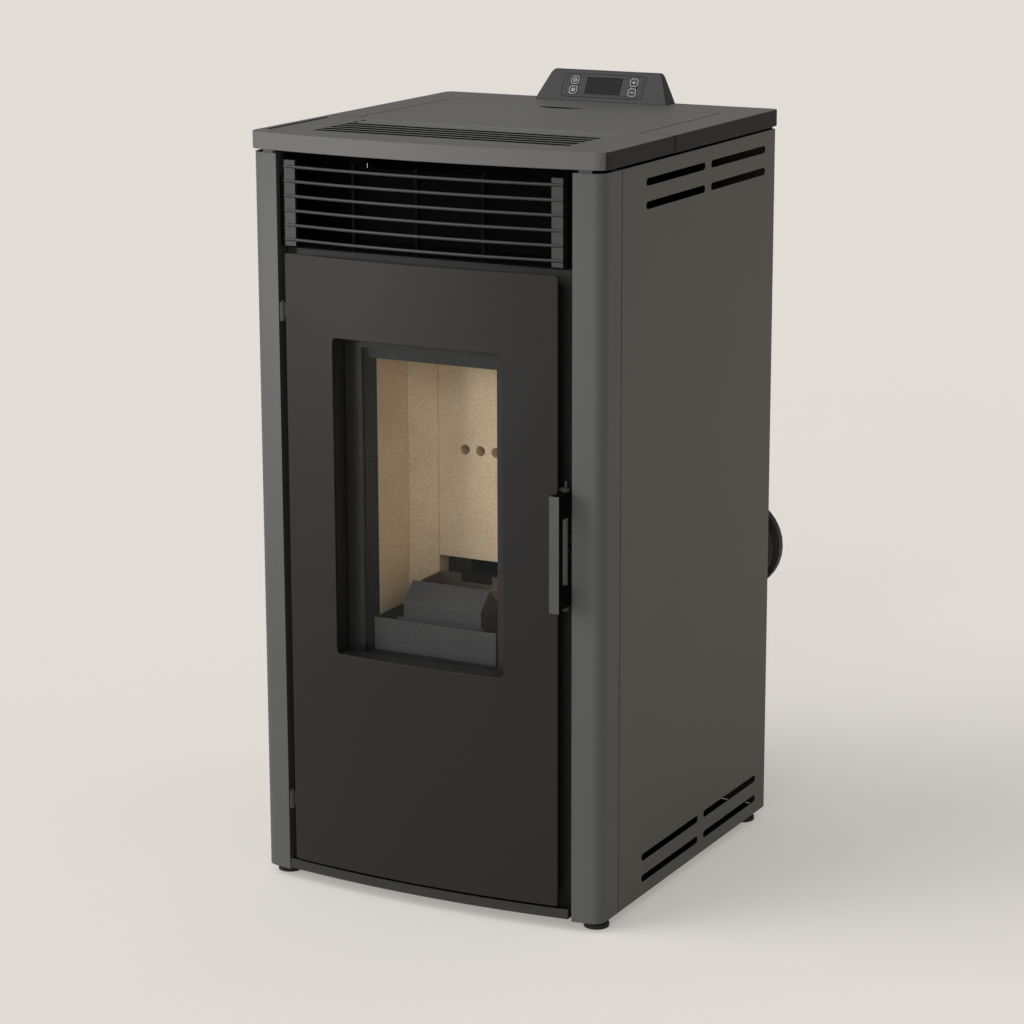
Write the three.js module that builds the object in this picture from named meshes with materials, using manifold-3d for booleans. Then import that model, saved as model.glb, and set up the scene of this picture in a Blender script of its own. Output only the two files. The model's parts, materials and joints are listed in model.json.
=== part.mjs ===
// A free-standing pellet stove: a steel cabinet on four feet, with a curved door, a brick-lined fire box,
// a pellet hopper under the top lid, an inclined feed auger, a room fan and a flue fan.
// Millimetres. X to the right, Y to the back, Z up. Inside the group, z = 0 is the lower edge of the
// cabinet; the group is then lifted by the height of the feet and centred between handle and flue.

import * as THREE from 'three';
import { mergeVertices } from 'three/addons/utils/BufferGeometryUtils.js';
import Module from 'manifold-3d';

const wasm = await Module();
wasm.setup();

// ---------------------------------------------------------------- driving dimensions

// cabinet
const bodyWidth = 480;
const bodyDepth = 449;
const bodyHeight = 920;
const sheet = 2;
const gap = 0.3;
const arcRise = 20;
const frontBulge = 69;
const footHeight = 12;
const footRadius = 16;
const footDiscHeight = 7;
const footChamfer = 2;
const footNeckRadius = 7;
const studRadius = 4;
const studLength = 14;
const baseProud = 6;
const footInsetX = 19;
const frontFootY = -248;
const rearFootY = 196;

// side panels
const panelFlange = 16;
const slotHeight = 9;
const slotRows = [23, 51];
const slotSpans = [[-160, 8], [26, 193]];
const slotRowDrop = 1;
const pillarGap = 2;

// pillars
const pillarWidth = 38;
const pillarCorner = 16;
const pillarWall = 3;
const pillarReturn = 23;
const spacerInset = 6;
const spacerHeight = 20;

// rear panel
const rearLouvreCount = 7;
const rearLouvreX = [-150, -40];
const rearLouvreZ = 56;
const rearLouvrePitch = 12;
const rearLouvreHeight = 5;
const portClearance = 1;

// top
const topThickness = 21;
const topGap = 4;
const topOverhang = 3;
const topCorner = 18;
const topWall = 4;
const topRim = 8;
const topRearOverhang = 3.5;
const topRearCorner = 6;
const seamY = -87;
const seamGap = 1.6;
const lidBorder = 45;
const lidFromRear = 82;
const lidGap = 1.5;
const lidRim = 3;
const lidBarrel = 4;
const hingeRod = 2;
const fingerPullX = -17;
const fingerPullWidth = 66;
const fingerPullDepth = 15;
const fingerPullFromEdge = 24;
const louvreCount = 7;
const louvreInset = 20;
const louvreFromFront = 57.5;
const louvrePitch = 18.7;
const louvreWidth = 12.5;
const edgeGrooveInset = 10;
const edgeGrooveWidth = 8;
const edgeGrooveDepth = 1.5;
const edgeGrooveSpan = [-250, -104];

// control housing
const consoleBase = 96;
const consoleTop = 81;
const consoleHeight = 38;
const consoleDepth = 28;
const consoleTopDepth = 7;
const consoleCorner = 4;
const bezelWidth = 118;
const bezelHeight = 32;
const bezelThickness = 1.2;
const bezelCorner = 4;
const bezelBorder = [3, 4];
const borderProud = 0.4;
const displayWidth = 51;
const displayHeight = 23;
const buttonSize = 12;
const buttonX = 43;
const buttonRow = 7;
const buttonTravel = 0.6;
const buttonStand = 0.5;

// door
const doorGap = 15;
const doorBottom = 20;
const doorFromTop = 120;
const doorProud = 6;
const doorSheet = 3;
const doorCorner = 3;
const windowHalfWidth = 117;
const windowBottom = 303;
const windowFromDoorTop = 98;
const windowCorner = 6;
const frameReturn = 9;
const frameInset = 12;
const doorDepth = 31.5;
const frameWall = 3;
const frameWindow = 94;
const frameWindowBottom = 301;
const frameWindowDrop = 14;
const glassThickness = 4;
const gasketInner = 110;
const gasketWidth = 10;
const gasketBelowMouth = 22;
const gasketAboveMouth = 16;
const gasketCorner = 6;
const hingeOffset = 7.5;
const hingeBehind = 13.5;
const hingeKnuckle = 5;
const hingePin = 2.6;
const hingeLength = 20;
const hingeLeaf = 6;
const lowerHingeZ = 90;
const upperHingeDrop = 80;

// handle
const handleBottom = 398;
const handleTop = 541;
const handleBarWidth = 13;
const handleBarDepth = 8;
const handleBarShift = 0.5;
const handleProud = 17;
const handleOffset = 7.5;
const handleBoss = 5;
const handlePinRadius = 2;
const upperArm = 30;
const lowerArm = 26;
const latchLength = 18;
const latchNose = { x: [-3.5, 4.5], half: 3 };
const keeperRoom = { side: 6, nose: 1.5, half: 16 };

// grille under the top
const grilleBars = 6;
const grilleAboveDoor = 16;
const grillePitch = 17.8;
const grilleBarRadius = 2;
const grilleGap = 12;
const grilleSupports = [-88, 0, 89];
const grillePlate = 15;
const grilleRib = 4;
const grilleRibDepth = 8;
const grilleMargin = [6, 8];
const plenumAboveDoor = 6;
const plenumDepth = 93.5;
const plenumInset = 14;
const plenumInlet = { half: 120, z: [92, 112] };
const plenumTab = [6, 12];

// bottom trim
const trimGap = 3;
const trimBottom = 3.3;
const trimTop = 16;
const trimProud = 2.5;

// fire box
const sealSpace = 6;
const plate = 3;
const mouthHalfWidth = 88;
const mouthSplay = 7.3;
const mouthBottom = 302.7;
const mouthDrop = 14;
const mouthDepth = 18;
const shellLintel = 40;
const flueSlot = { x: [2, 22], z: [3, 27.3] };
const brick = 25;
const brickAboveMouth = 71;
const baffleSpace = 12;
const chamberDepth = 122;
const backHalfWidth = 60;
const backBrickBottom = 400;
const airHoleRadius = 6.5;
const airHolePitch = 22;
const airHoleZ = 541;
const baffleSetback = 16;
const baffleOverlap = 2;

// burn pot and ash pan
const potHalfWidth = 55;
const potSetback = 20;
const potFromBack = 7;
const potFold = 364;
const potPeak = 386;
const potHood = 24;
const potRearTop = 363;
const potWall = 3;
const potLedge = { side: 15, front: 30, rear: 10 };
const linerWall = 2;
const linerTop = 383;
const linerNotch = { half: 22, depth: 11 };
const grateHole = { radius: 3, columns: 5, rows: 3, pitchX: 16, pitchY: 14 };
const panHalfWidth = 86;
const panSetback = 1;
const panTop = 345;
const panWall = 2;
const panClearance = 4;

// pellet feed
const tubeRadius = 32;
const tubeWall = 3;
const augerLowY = 105;
const augerLowZ = 330;
const augerHighY = -40;
const augerHighZ = 500;
const screwRadius = 27;
const screwShaft = 8;
const screwTurns = 4;
const screwBlade = 3;
const screwEnd = 8;
const shaftBelow = 24;
const motorFlange = { radius: 36, thickness: 18 };
const motorBody = { radius: 28, length: 88 };
const motorBore = 26;
const chuteHalfWidth = 30;
const dropZ = 440;
const chuteFall = 32;
const chuteBottom = 372;
const chuteTop = 394;
const hopperClearance = { side: 7, front: 3, rear: 4, top: 1 };
const hopperShoulder = 640;
const throatHalfWidth = 30;
const throatFrontY = 66;
const throatRearY = 112;
const throatZ = 440;
const gridDepth = 40;
const gridPitch = 60;
const gridInset = 50;
const gridBar = 4;

// rear connections
const flueFromSide = 85;
const flueZ = 340;
const flueRadius = 40;
const flueWall = 1.5;
const flueProud = 98;
const collarRadius = 65;
const collarLength = 30;
const collarForm = { tube: collarRadius - 7, foot: 12, chamfer: 5, rim: 11, lip: 4, dish: 5 };
const intakeX = -100;
const intakeZ = 270;
const intakeRadius = 25;
const intakeProud = 17.5;
const igniterZ = 325;
const igniterRadius = 5;
const igniterTail = 30;
const igniterFlange = { radius: 11, thickness: 5 };
const inletFromSide = 50;
const inletZ = 90;
const inletFlange = [17, 29];
const inletBody = [13.5, 25.5];
const inletDepth = 30;
const inletLip = 1.6;
const inletBoreHalf = 11;
const inletBoreDepth = 16;
const inletSocket = [-20, -4];
const inletRocker = [3, 22];
const rockerProud = 2.2;
const rockerHalfHeight = 8;
const rockerDepth = 9;

// ---------------------------------------------------------------- values worked out from them

const halfWidth = bodyWidth / 2;
const halfDepth = bodyDepth / 2;
const frontY = -halfDepth - frontBulge;
const arcRadius = (halfWidth ** 2 + arcRise ** 2) / (2 * arcRise);
const arcCentreY = frontY + arcRadius;
const frameBackY = frontY + doorDepth;
const frontPlateY = frameBackY + sealSpace;
const chamberBackY = frontPlateY + chamberDepth;
const potBottom = mouthBottom + gap;
const panBottom = mouthBottom + gap;
const cornerFrontY = chamberBackY - (mouthHalfWidth - backHalfWidth);
const panRearY = cornerFrontY - 1;
const topZ = bodyHeight + topGap;
const topSurface = topZ + topThickness;
const topRearY = halfDepth + topRearOverhang;
const lidHalfWidth = halfWidth - lidBorder;
const lidRearY = topRearY - lidFromRear;
const louvreHalfWidth = lidHalfWidth - louvreInset;
const louvreFrontY = frontY + louvreFromFront;
const edgeGrooveX = edgeGrooveInset - halfWidth;
const consoleFrontY = topRearY - consoleDepth;
const pillarInner = halfWidth - pillarWidth;
const doorHalfWidth = pillarInner - doorGap;
const doorTop = bodyHeight - doorFromTop;
const windowTop = doorTop - windowFromDoorTop;
const frameHalfWidth = doorHalfWidth - frameReturn;
const frameWindowTop = windowTop - frameWindowDrop;
const mouthTop = frameWindowTop - mouthDrop;
const brickTop = mouthTop + brickAboveMouth;
const chamberTop = brickTop + baffleSpace;
const hingeX = -doorHalfWidth - hingeOffset;
const hingeY = frontY + hingeBehind;
const upperHingeZ = doorTop - upperHingeDrop;
const handlePivotX = doorHalfWidth + handleOffset;
const handleBarX = handlePivotX - handleBarShift;
const handleFrontY = frontY - handleProud;
const handleMiddle = (handleBottom + handleTop) / 2;
const grilleBottom = doorTop + grilleAboveDoor;
const grilleHalfWidth = pillarInner - grilleGap;
const plenumBottom = doorTop + plenumAboveDoor;
const plenumRearY = frontY + plenumDepth;
const trimHalfWidth = pillarInner - trimGap;
const baffleFrontY = frontPlateY + baffleSetback;
const baffleRearY = chamberBackY + baffleOverlap;
const potFrontY = frontPlateY + potSetback;
const potRearY = chamberBackY - potFromBack;
const potPeakY = potFrontY + potHood;
const panFrontY = frontPlateY + panSetback;
const hopperHalfWidth = lidHalfWidth - hopperClearance.side;
const hopperFrontY = seamY + hopperClearance.front;
const hopperRearY = lidRearY - hopperClearance.rear;
const hopperTop = bodyHeight - hopperClearance.top;
const flueX = halfWidth - flueFromSide;
const flueEndY = halfDepth + flueProud;
const intakeEndY = halfDepth + intakeProud;
const inletX = inletFromSide - halfWidth;
const pillarRearY = -halfDepth - pillarGap;
const shellInner = mouthHalfWidth + brick + 1;
const shellFrontY = frontPlateY + plate + gap;
const shellBackY = chamberBackY + brick + 1;
const rearPanelY = halfDepth - sheet - gap;
const footDiscTop = footDiscHeight - footHeight;

// ---------------------------------------------------------------- materials

const paint = (color, roughness = 0.6, metalness = 0.3) =>
  new THREE.MeshStandardMaterial({ color, roughness, metalness });

const cabinetPaint = paint(0x4a4846, 0.62);
const pillarPaint = paint(0x5f6060, 0.5);
const topPaint = paint(0x5c5c5a, 0.55);
const doorPaint = paint(0x2b2a29, 0.38);
const blackPaint = paint(0x161616, 0.6);
const glassBlack = new THREE.MeshStandardMaterial({
  color: 0x1c1d1e, roughness: 0.08, transparent: true, opacity: 0.3,
});
const vermiculite = paint(0xbdae96, 0.95, 0);
const castIron = paint(0x464747, 0.65, 0.4);
const tintedSteel = paint(0x6a5a4c, 0.4, 0.8);
const zincSteel = paint(0x9a9c9d, 0.4, 0.9);
const rubber = paint(0x141414, 0.85, 0);
const blackPlastic = paint(0x1d1e20, 0.5, 0);
const displayBlack = paint(0x0d0e10, 0.15, 0);
const gasketRope = paint(0x35342f, 0.95, 0);
const boardGreen = paint(0x1f5a38, 0.5, 0);

// ---------------------------------------------------------------- shape helpers

function solid(geometry) {
  const bare = geometry.clone();
  bare.deleteAttribute('normal');
  bare.deleteAttribute('uv');
  const merged = mergeVertices(bare, 1e-4);
  return new wasm.Manifold(new wasm.Mesh({
    numProp: 3,
    vertProperties: new Float32Array(merged.attributes.position.array),
    triVerts: new Uint32Array(merged.index.array),
  }));
}

function box(x, y, z) {
  const geometry = new THREE.BoxGeometry(x[1] - x[0], y[1] - y[0], z[1] - z[0]);
  geometry.translate((x[0] + x[1]) / 2, (y[0] + y[1]) / 2, (z[0] + z[1]) / 2);
  return solid(geometry);
}

const mirrored = (half) => [-half, half];

// how far a cutting tool reaches past what it cuts
const past = 1;

function drawnOut(points, depth, curveSegments) {
  const outline = points instanceof THREE.Shape
    ? points : new THREE.Shape(points.map(([a, b]) => new THREE.Vector2(a, b)));
  return new THREE.ExtrudeGeometry(outline, { depth, bevelEnabled: false, curveSegments });
}

// points (x, y), drawn out along Z
function prismZ(points, z, curveSegments = 6) {
  const geometry = drawnOut(points, z[1] - z[0], curveSegments);
  geometry.translate(0, 0, z[0]);
  return solid(geometry);
}

// points (y, z), drawn out along X
function prismX(points, x, curveSegments = 6) {
  const geometry = drawnOut(points, x[1] - x[0], curveSegments);
  geometry.applyMatrix4(new THREE.Matrix4().set(0, 0, 1, x[0], 1, 0, 0, 0, 0, 1, 0, 0, 0, 0, 0, 1));
  return solid(geometry);
}

// points (x, z), drawn out along Y
function prismY(points, y, curveSegments = 6) {
  const geometry = drawnOut(points, y[1] - y[0], curveSegments);
  geometry.rotateX(Math.PI / 2);
  geometry.translate(0, y[1], 0);
  return solid(geometry);
}

function roundedRectangle(a0, a1, b0, b1, r) {
  const shape = new THREE.Shape();
  shape.moveTo(a0 + r, b0);
  shape.lineTo(a1 - r, b0);
  shape.absarc(a1 - r, b0 + r, r, -Math.PI / 2, 0);
  shape.lineTo(a1, b1 - r);
  shape.absarc(a1 - r, b1 - r, r, 0, Math.PI / 2);
  shape.lineTo(a0 + r, b1);
  shape.absarc(a0 + r, b1 - r, r, Math.PI / 2, Math.PI);
  shape.lineTo(a0, b0 + r);
  shape.absarc(a0 + r, b0 + r, r, Math.PI, Math.PI * 1.5);
  return shape;
}

// a round bar from one point to another
function rod(radius, from, to, segments = 16) {
  const start = new THREE.Vector3(...from);
  const end = new THREE.Vector3(...to);
  const length = start.distanceTo(end);
  const geometry = new THREE.CylinderGeometry(radius, radius, length, segments);
  const turn = new THREE.Quaternion().setFromUnitVectors(
    new THREE.Vector3(0, 1, 0), end.clone().sub(start).normalize());
  geometry.applyQuaternion(turn);
  geometry.translate(...start.add(end).multiplyScalar(0.5).toArray());
  return solid(geometry);
}

// a turned body: profile of (radius, place along the axis) from the axis back to the axis
function turned(profile, at, axis, segments = 24) {
  const points = profile.map(([r, h]) => new THREE.Vector2(r, h));
  const geometry = new THREE.LatheGeometry(points, segments);
  if (axis === 'z') geometry.rotateX(Math.PI / 2);
  if (axis === 'x') geometry.rotateZ(-Math.PI / 2);
  geometry.translate(...at);
  return solid(geometry);
}

// a box that narrows from one rectangle to another: each is [x0, x1, y0, y1] at its own height
function hopperBody(lower, lowerZ, upper, upperZ) {
  const corners = ([x0, x1, y0, y1], z) => [x0, y0, z, x1, y0, z, x1, y1, z, x0, y1, z];
  const geometry = new THREE.BufferGeometry();
  const positions = new Float32Array([...corners(lower, lowerZ), ...corners(upper, upperZ)]);
  geometry.setAttribute('position', new THREE.BufferAttribute(positions, 3));
  geometry.setIndex([
    0, 2, 1, 0, 3, 2, 4, 5, 6, 4, 6, 7,
    0, 1, 5, 0, 5, 4, 1, 2, 6, 1, 6, 5,
    2, 3, 7, 2, 7, 6, 3, 0, 4, 3, 4, 7,
  ]);
  return solid(geometry);
}

const union = (...pieces) => pieces.reduce((sum, piece) => sum.add(piece));
const cut = (body, ...tools) => tools.reduce((rest, tool) => rest.subtract(tool), body);
const both = (make) => union(make(-1), make(1));

// ---------------------------------------------------------------- the curved front

// y of the front arc at x, moved outwards by `out`
const arcY = (x, out = 0) => arcCentreY - Math.sqrt((arcRadius + out) ** 2 - x ** 2);

function arcPoints(x0, x1, out, steps) {
  return Array.from({ length: steps + 1 }, (_, i) => {
    const x = x0 + ((x1 - x0) * i) / steps;
    return [x, arcY(x, out)];
  });
}

// a strip that follows the front arc, `out` at its face and `back` at its rear
function arcStrip(half, out, back, z, steps) {
  const face = arcPoints(-half, half, out, steps);
  const rear = arcPoints(-half, half, back, steps).reverse();
  return prismZ([...face, ...rear], z);
}

// from the arc round the right-hand corner to the side face at x = side
function cornerPoints(side, radius, out, steps = 5) {
  const centreX = side - radius;
  const centreY = arcCentreY - Math.sqrt((arcRadius + out - radius) ** 2 - centreX ** 2);
  const start = Math.atan2(centreY - arcCentreY, centreX);
  return Array.from({ length: steps + 1 }, (_, i) => {
    const angle = start + ((0 - start) * i) / steps;
    return [centreX + radius * Math.cos(angle), centreY + radius * Math.sin(angle)];
  });
}

// the whole front from the left side to the right side
function frontPoints(side, radius, out, steps) {
  const right = cornerPoints(side, radius, out);
  const left = right.map(([x, y]) => [-x, y]).reverse();
  const between = arcPoints(left.at(-1)[0], right[0][0], out, steps).slice(1, -1);
  return [...left, ...between, ...right];
}

// ---------------------------------------------------------------- the group of named pieces

const stove = new THREE.Group();

// edges shorter than this are closed up
const finest = 0.01;

function place(name, body, material) {
  const mesh = body.simplify(finest).getMesh();
  const geometry = new THREE.BufferGeometry();
  const positions = new Float32Array(mesh.vertProperties);
  geometry.setAttribute('position', new THREE.BufferAttribute(positions, 3));
  geometry.setIndex(new THREE.BufferAttribute(new Uint32Array(mesh.triVerts), 1));
  geometry.computeVertexNormals();
  const node = new THREE.Mesh(geometry, material);
  node.name = name;
  stove.add(node);
}

// ---------------------------------------------------------------- base and feet

function baseOutline() {
  const side = halfWidth - sheet - gap;
  const behindFlange = -halfDepth + sheet + gap;
  const flangeEdge = halfWidth - panelFlange - gap;
  const inPillar = halfWidth - pillarWall - 2 * gap;
  const returnEnd = arcY(pillarInner) + pillarReturn;
  const right = [
    [side, rearPanelY - sheet - gap], [side, behindFlange], [flangeEdge, behindFlange],
    [flangeEdge, pillarRearY - gap], [inPillar, pillarRearY - gap], [inPillar, returnEnd + gap],
    [pillarInner - gap, returnEnd + gap], [pillarInner - gap, frontPlateY - baseProud],
  ];
  return [...right, ...right.map(([x, y]) => [-x, y]).reverse()];
}

function footPlaces() {
  const x = halfWidth - footInsetX;
  return {
    foot_front_left: [-x, frontFootY],
    foot_front_right: [x, frontFootY],
    foot_rear_left: [-x, rearFootY],
    foot_rear_right: [x, rearFootY],
  };
}

function buildBase() {
  const holes = Object.values(footPlaces()).map(([x, y]) =>
    rod(studRadius + gap, [x, y, -past], [x, y, plate + past], 12));
  place('base_plate', cut(prismZ(baseOutline(), [0, plate]), ...holes), blackPaint);
  const profile = [
    [0, -footHeight], [footRadius, -footHeight], [footRadius, footDiscTop - footChamfer],
    [footRadius - footChamfer, footDiscTop], [footNeckRadius, footDiscTop], [footNeckRadius, -gap],
    [studRadius, -gap], [studRadius, plate + studLength], [0, plate + studLength],
  ];
  for (const [name, [x, y]] of Object.entries(footPlaces())) {
    place(name, turned(profile, [x, y, 0], 'z', 16), rubber);
  }
}

// ---------------------------------------------------------------- cabinet

function slot(side, y, z) {
  const r = slotHeight / 2;
  const outline = new THREE.Shape();
  outline.moveTo(y[0] + r, z - r);
  outline.absarc(y[1] - r, z, r, -Math.PI / 2, Math.PI / 2);
  outline.absarc(y[0] + r, z, r, Math.PI / 2, Math.PI * 1.5);
  return prismX(outline, [side * halfWidth - 2 * sheet, side * halfWidth + 2 * sheet], 3);
}

function buildSidePanel(name, side) {
  const inner = halfWidth - sheet;
  const flange = halfWidth - panelFlange;
  const outline = [
    [halfWidth, -halfDepth], [halfWidth, halfDepth], [flange, halfDepth], [flange, halfDepth - sheet],
    [inner, halfDepth - sheet], [inner, -halfDepth + sheet],
    [flange, -halfDepth + sheet], [flange, -halfDepth],
  ];
  const points = side > 0 ? outline : outline.map(([x, y]) => [-x, y]).reverse();
  const upper = slotRows.map((row) => bodyHeight - row);
  const lower = slotRows.map((row) => row - slotRowDrop);
  const heights = [...upper, ...lower];
  const slots = heights.flatMap((z) => slotSpans.map((span) => slot(side, span, z)));
  place(name, cut(prismZ(points, [0, bodyHeight]), ...slots), cabinetPaint);
}

function buildPillar(name, side) {
  const outline = (inset) => {
    const corner = cornerPoints(halfWidth - inset, pillarCorner - inset, -inset);
    const start = pillarInner + inset;
    const face = arcPoints(start, corner[0][0], -inset, 2).slice(0, -1);
    const innerEnd = [start, arcY(pillarInner) + pillarReturn];
    return [innerEnd, ...face, ...corner, [halfWidth - inset, pillarRearY]];
  };
  const points = [...outline(0), ...outline(pillarWall).reverse()];
  const half = prismZ(side > 0 ? points : points.map(([x, y]) => [-x, y]).reverse(), [0, bodyHeight]);
  // a tab inside the pillar reaches up to the top cover
  const spacerX = [pillarInner + spacerInset, halfWidth - pillarCorner];
  const spacer = [
    ...arcPoints(spacerX[0], spacerX[1], gap - pillarWall, 1),
    ...arcPoints(spacerX[0], spacerX[1], -pillarWall - sheet, 1).reverse(),
  ];
  const spacerPoints = side > 0 ? spacer : spacer.map(([x, y]) => [-x, y]).reverse();
  place(name, half.add(prismZ(spacerPoints, [bodyHeight - spacerHeight, topZ - gap])), pillarPaint);
}

function buildRearPanel() {
  const x = mirrored(halfWidth - sheet - 3 * gap);
  const y = [rearPanelY - sheet, rearPanelY];
  const throughY = [y[0] - past, y[1] + past];
  const louvres = Array.from({ length: rearLouvreCount }, (_, i) => {
    const z = rearLouvreZ + i * rearLouvrePitch;
    return box(rearLouvreX, throughY, [z, z + rearLouvreHeight]);
  });
  const port = (cx, cz, r) => rod(r + portClearance, [cx, throughY[0], cz], [cx, throughY[1], cz], 24);
  const [inletX0, inletX1] = mirrored(inletBody[0] + gap).map((dx) => inletX + dx);
  const inletSpan = mirrored(inletBody[1] + gap).map((dz) => inletZ + dz);
  const body = cut(
    box(x, y, [plate + gap, topZ - gap]),
    port(flueX, flueZ, flueRadius), port(intakeX, intakeZ, intakeRadius),
    box([inletX0, inletX1], throughY, inletSpan), ...louvres);
  place('rear_panel', body, cabinetPaint);
}

// ---------------------------------------------------------------- top

function buildTopFront() {
  const side = halfWidth + topOverhang;
  const outline = (inset, rear) => [
    ...frontPoints(side - inset, topCorner - inset, topOverhang - inset, 12),
    [side - inset, rear], [-side + inset, rear],
  ];
  const outer = prismZ(outline(0, seamY - seamGap / 2), [topZ, topSurface]);
  const hollow = prismZ(outline(topRim, seamY - topRim), [topZ - past, topSurface - topWall]);
  const louvres = Array.from({ length: louvreCount }, (_, i) => {
    const y = louvreFrontY + i * louvrePitch;
    return box(mirrored(louvreHalfWidth), [y, y + louvreWidth], [topZ, topSurface + past]);
  });
  const groove = box(
    [edgeGrooveX - edgeGrooveWidth / 2, edgeGrooveX + edgeGrooveWidth / 2], edgeGrooveSpan,
    [topSurface - edgeGrooveDepth, topSurface + past]);
  place('top_front_cover', cut(outer, hollow, groove, ...louvres), topPaint);
}

function buildTopRear() {
  const side = halfWidth + topOverhang;
  const y = [seamY + seamGap / 2, topRearY];
  const opening = lidHalfWidth + lidGap;
  const outer = prismZ(
    [[-side, y[0]], [side, y[0]], [side, y[1] - topRearCorner], [side - topRearCorner, y[1]],
      [-side + topRearCorner, y[1]], [-side, y[1] - topRearCorner]],
    [topZ, topSurface]);
  const lidOpening = box(
    mirrored(opening), [y[0] - past, lidRearY + lidGap], [topZ - past, topSurface + past]);
  const underArm = (s) => box(
    s > 0 ? [opening + topRim, side - topRim] : [-side + topRim, -opening - topRim],
    [y[0] + topRim, lidRearY], [topZ - past, topSurface - topWall]);
  const underRear = box(
    mirrored(side - topRim), [lidRearY + lidGap + topRim, y[1] - topRim],
    [topZ - past, topSurface - topWall]);
  const rodHole = rod(hingeRod + gap, [-opening - topRim - past, lidHinge.y, lidHinge.z],
    [opening + topRim + past, lidHinge.y, lidHinge.z], 12);
  place('top_rear_frame', cut(outer, lidOpening, underArm(-1), underArm(1), underRear, rodHole), topPaint);
}

const lidHinge = { y: seamY + seamGap / 2 + lidBarrel, z: topSurface - lidBarrel };

function buildLid() {
  const front = lidHinge.y;
  const barrel = rod(lidBarrel, [-lidHalfWidth, front, lidHinge.z], [lidHalfWidth, front, lidHinge.z], 20);
  const skin = box(mirrored(lidHalfWidth), [front, lidRearY], [topSurface - lidRim, topSurface]);
  const rimZ = [topZ, topSurface - lidRim + gap];
  const rimFront = front + 2 * lidBarrel;
  const rim = cut(
    box(mirrored(lidHalfWidth), [rimFront, lidRearY], rimZ),
    box(mirrored(lidHalfWidth - lidRim), [rimFront + lidRim, lidRearY - lidRim],
      [topZ - past, topSurface]));
  const pullEdge = lidRearY - fingerPullFromEdge;
  const half = fingerPullWidth / 2;
  const pull = new THREE.Shape();
  pull.moveTo(fingerPullX + half, pullEdge);
  pull.lineTo(fingerPullX - half, pullEdge);
  const pullFront = pullEdge - fingerPullDepth;
  const pullBend = half * 0.7;
  pull.quadraticCurveTo(fingerPullX - pullBend, pullFront, fingerPullX, pullFront);
  pull.quadraticCurveTo(fingerPullX + pullBend, pullFront, fingerPullX + half, pullEdge);
  const bore = rod(hingeRod + gap,
    [-lidHalfWidth - past, front, lidHinge.z], [lidHalfWidth + past, front, lidHinge.z], 12);
  const hole = prismZ(pull, [topSurface - lidRim - past, topSurface + past], 6);
  const lid = cut(union(skin, barrel, rim), hole, bore);
  place('hopper_lid', lid, topPaint);
  const end = lidHalfWidth + lidGap + topRim - past;
  place('lid_hinge_rod', rod(hingeRod, [-end, front, lidHinge.z], [end, front, lidHinge.z], 12), zincSteel);
}

// ---------------------------------------------------------------- control housing

const consoleFace = (() => {
  const rearY = topRearY;
  const topY = rearY - consoleTopDepth;
  const lean = Math.atan2(topY - consoleFrontY, consoleHeight);
  const length = Math.hypot(topY - consoleFrontY, consoleHeight);
  return { rearY, topY, lean, length };
})();

// from face coordinates (x, outwards, up the slope, all from the middle of the face) into the stove
function onConsole(body) {
  const middle = [(consoleFrontY + consoleFace.topY) / 2, topSurface + gap + consoleHeight / 2];
  const tilt = -THREE.MathUtils.radToDeg(consoleFace.lean);
  return body.rotate([tilt, 0, 0]).translate([0, middle[0], middle[1]]);
}

function bezelOutline(inset) {
  const h = bezelHeight / 2 - inset;
  const half = bezelWidth / 2 - inset;
  return roundedRectangle(-half, half, -h, h, bezelCorner);
}

function buildConsole() {
  const z = topSurface + gap;
  const corner = consoleCorner;
  const outline = [
    [-consoleBase, z], [consoleBase, z],
    [consoleTop, z + consoleHeight - corner], [consoleTop - corner, z + consoleHeight],
    [corner - consoleTop, z + consoleHeight], [-consoleTop, z + consoleHeight - corner],
  ];
  const front = prismY(outline, [consoleFrontY, consoleFace.rearY]);
  const side = prismX([[consoleFrontY, z], [consoleFace.rearY, z], [consoleFace.rearY, z + consoleHeight],
    [consoleFace.topY, z + consoleHeight]], mirrored(consoleBase + past));
  const pocket = onConsole(prismY(bezelOutline(-gap), [-past, bezelThickness + gap], 3));
  place('control_housing', cut(front.intersect(side), pocket), blackPlastic);

  const y = [0, bezelThickness];
  const throughY = [-borderProud - past, bezelThickness + past];
  const hole = (x, w, h, zc) => box([x - w / 2, x + w / 2], throughY, [zc - h / 2, zc + h / 2]);
  const buttons = [
    [-buttonX, buttonRow], [buttonX, buttonRow], [-buttonX, -buttonRow], [buttonX, -buttonRow]];
  const holes = buttons.map(([x, row]) => hole(x, buttonSize + 2 * gap, buttonSize + 2 * gap, row));
  const border = cut(
    prismY(bezelOutline(bezelBorder[0]), [-borderProud, bezelThickness], 3),
    prismY(bezelOutline(bezelBorder[1]), throughY, 3));
  const displayHole = hole(0, displayWidth + 2 * gap, displayHeight + 2 * gap, 0);
  const bezel = cut(union(prismY(bezelOutline(0), y, 3), border), ...holes, displayHole);
  place('control_bezel', onConsole(bezel), blackPlastic);
  place('display_window', onConsole(box(
    mirrored(displayWidth / 2), [gap / 2, bezelThickness], mirrored(displayHeight / 2))), displayBlack);
  const half = buttonSize / 2;
  const buttonY = [-buttonStand, bezelThickness - buttonTravel - gap];
  buttons.forEach(([x, row], i) => {
    const cap = roundedRectangle(x - half, x + half, row - half, row + half, half / 2);
    place(`button_${i + 1}`, onConsole(prismY(cap, buttonY, 3)), blackPlastic);
  });
}

// ---------------------------------------------------------------- grille and plenum under the top

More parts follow.
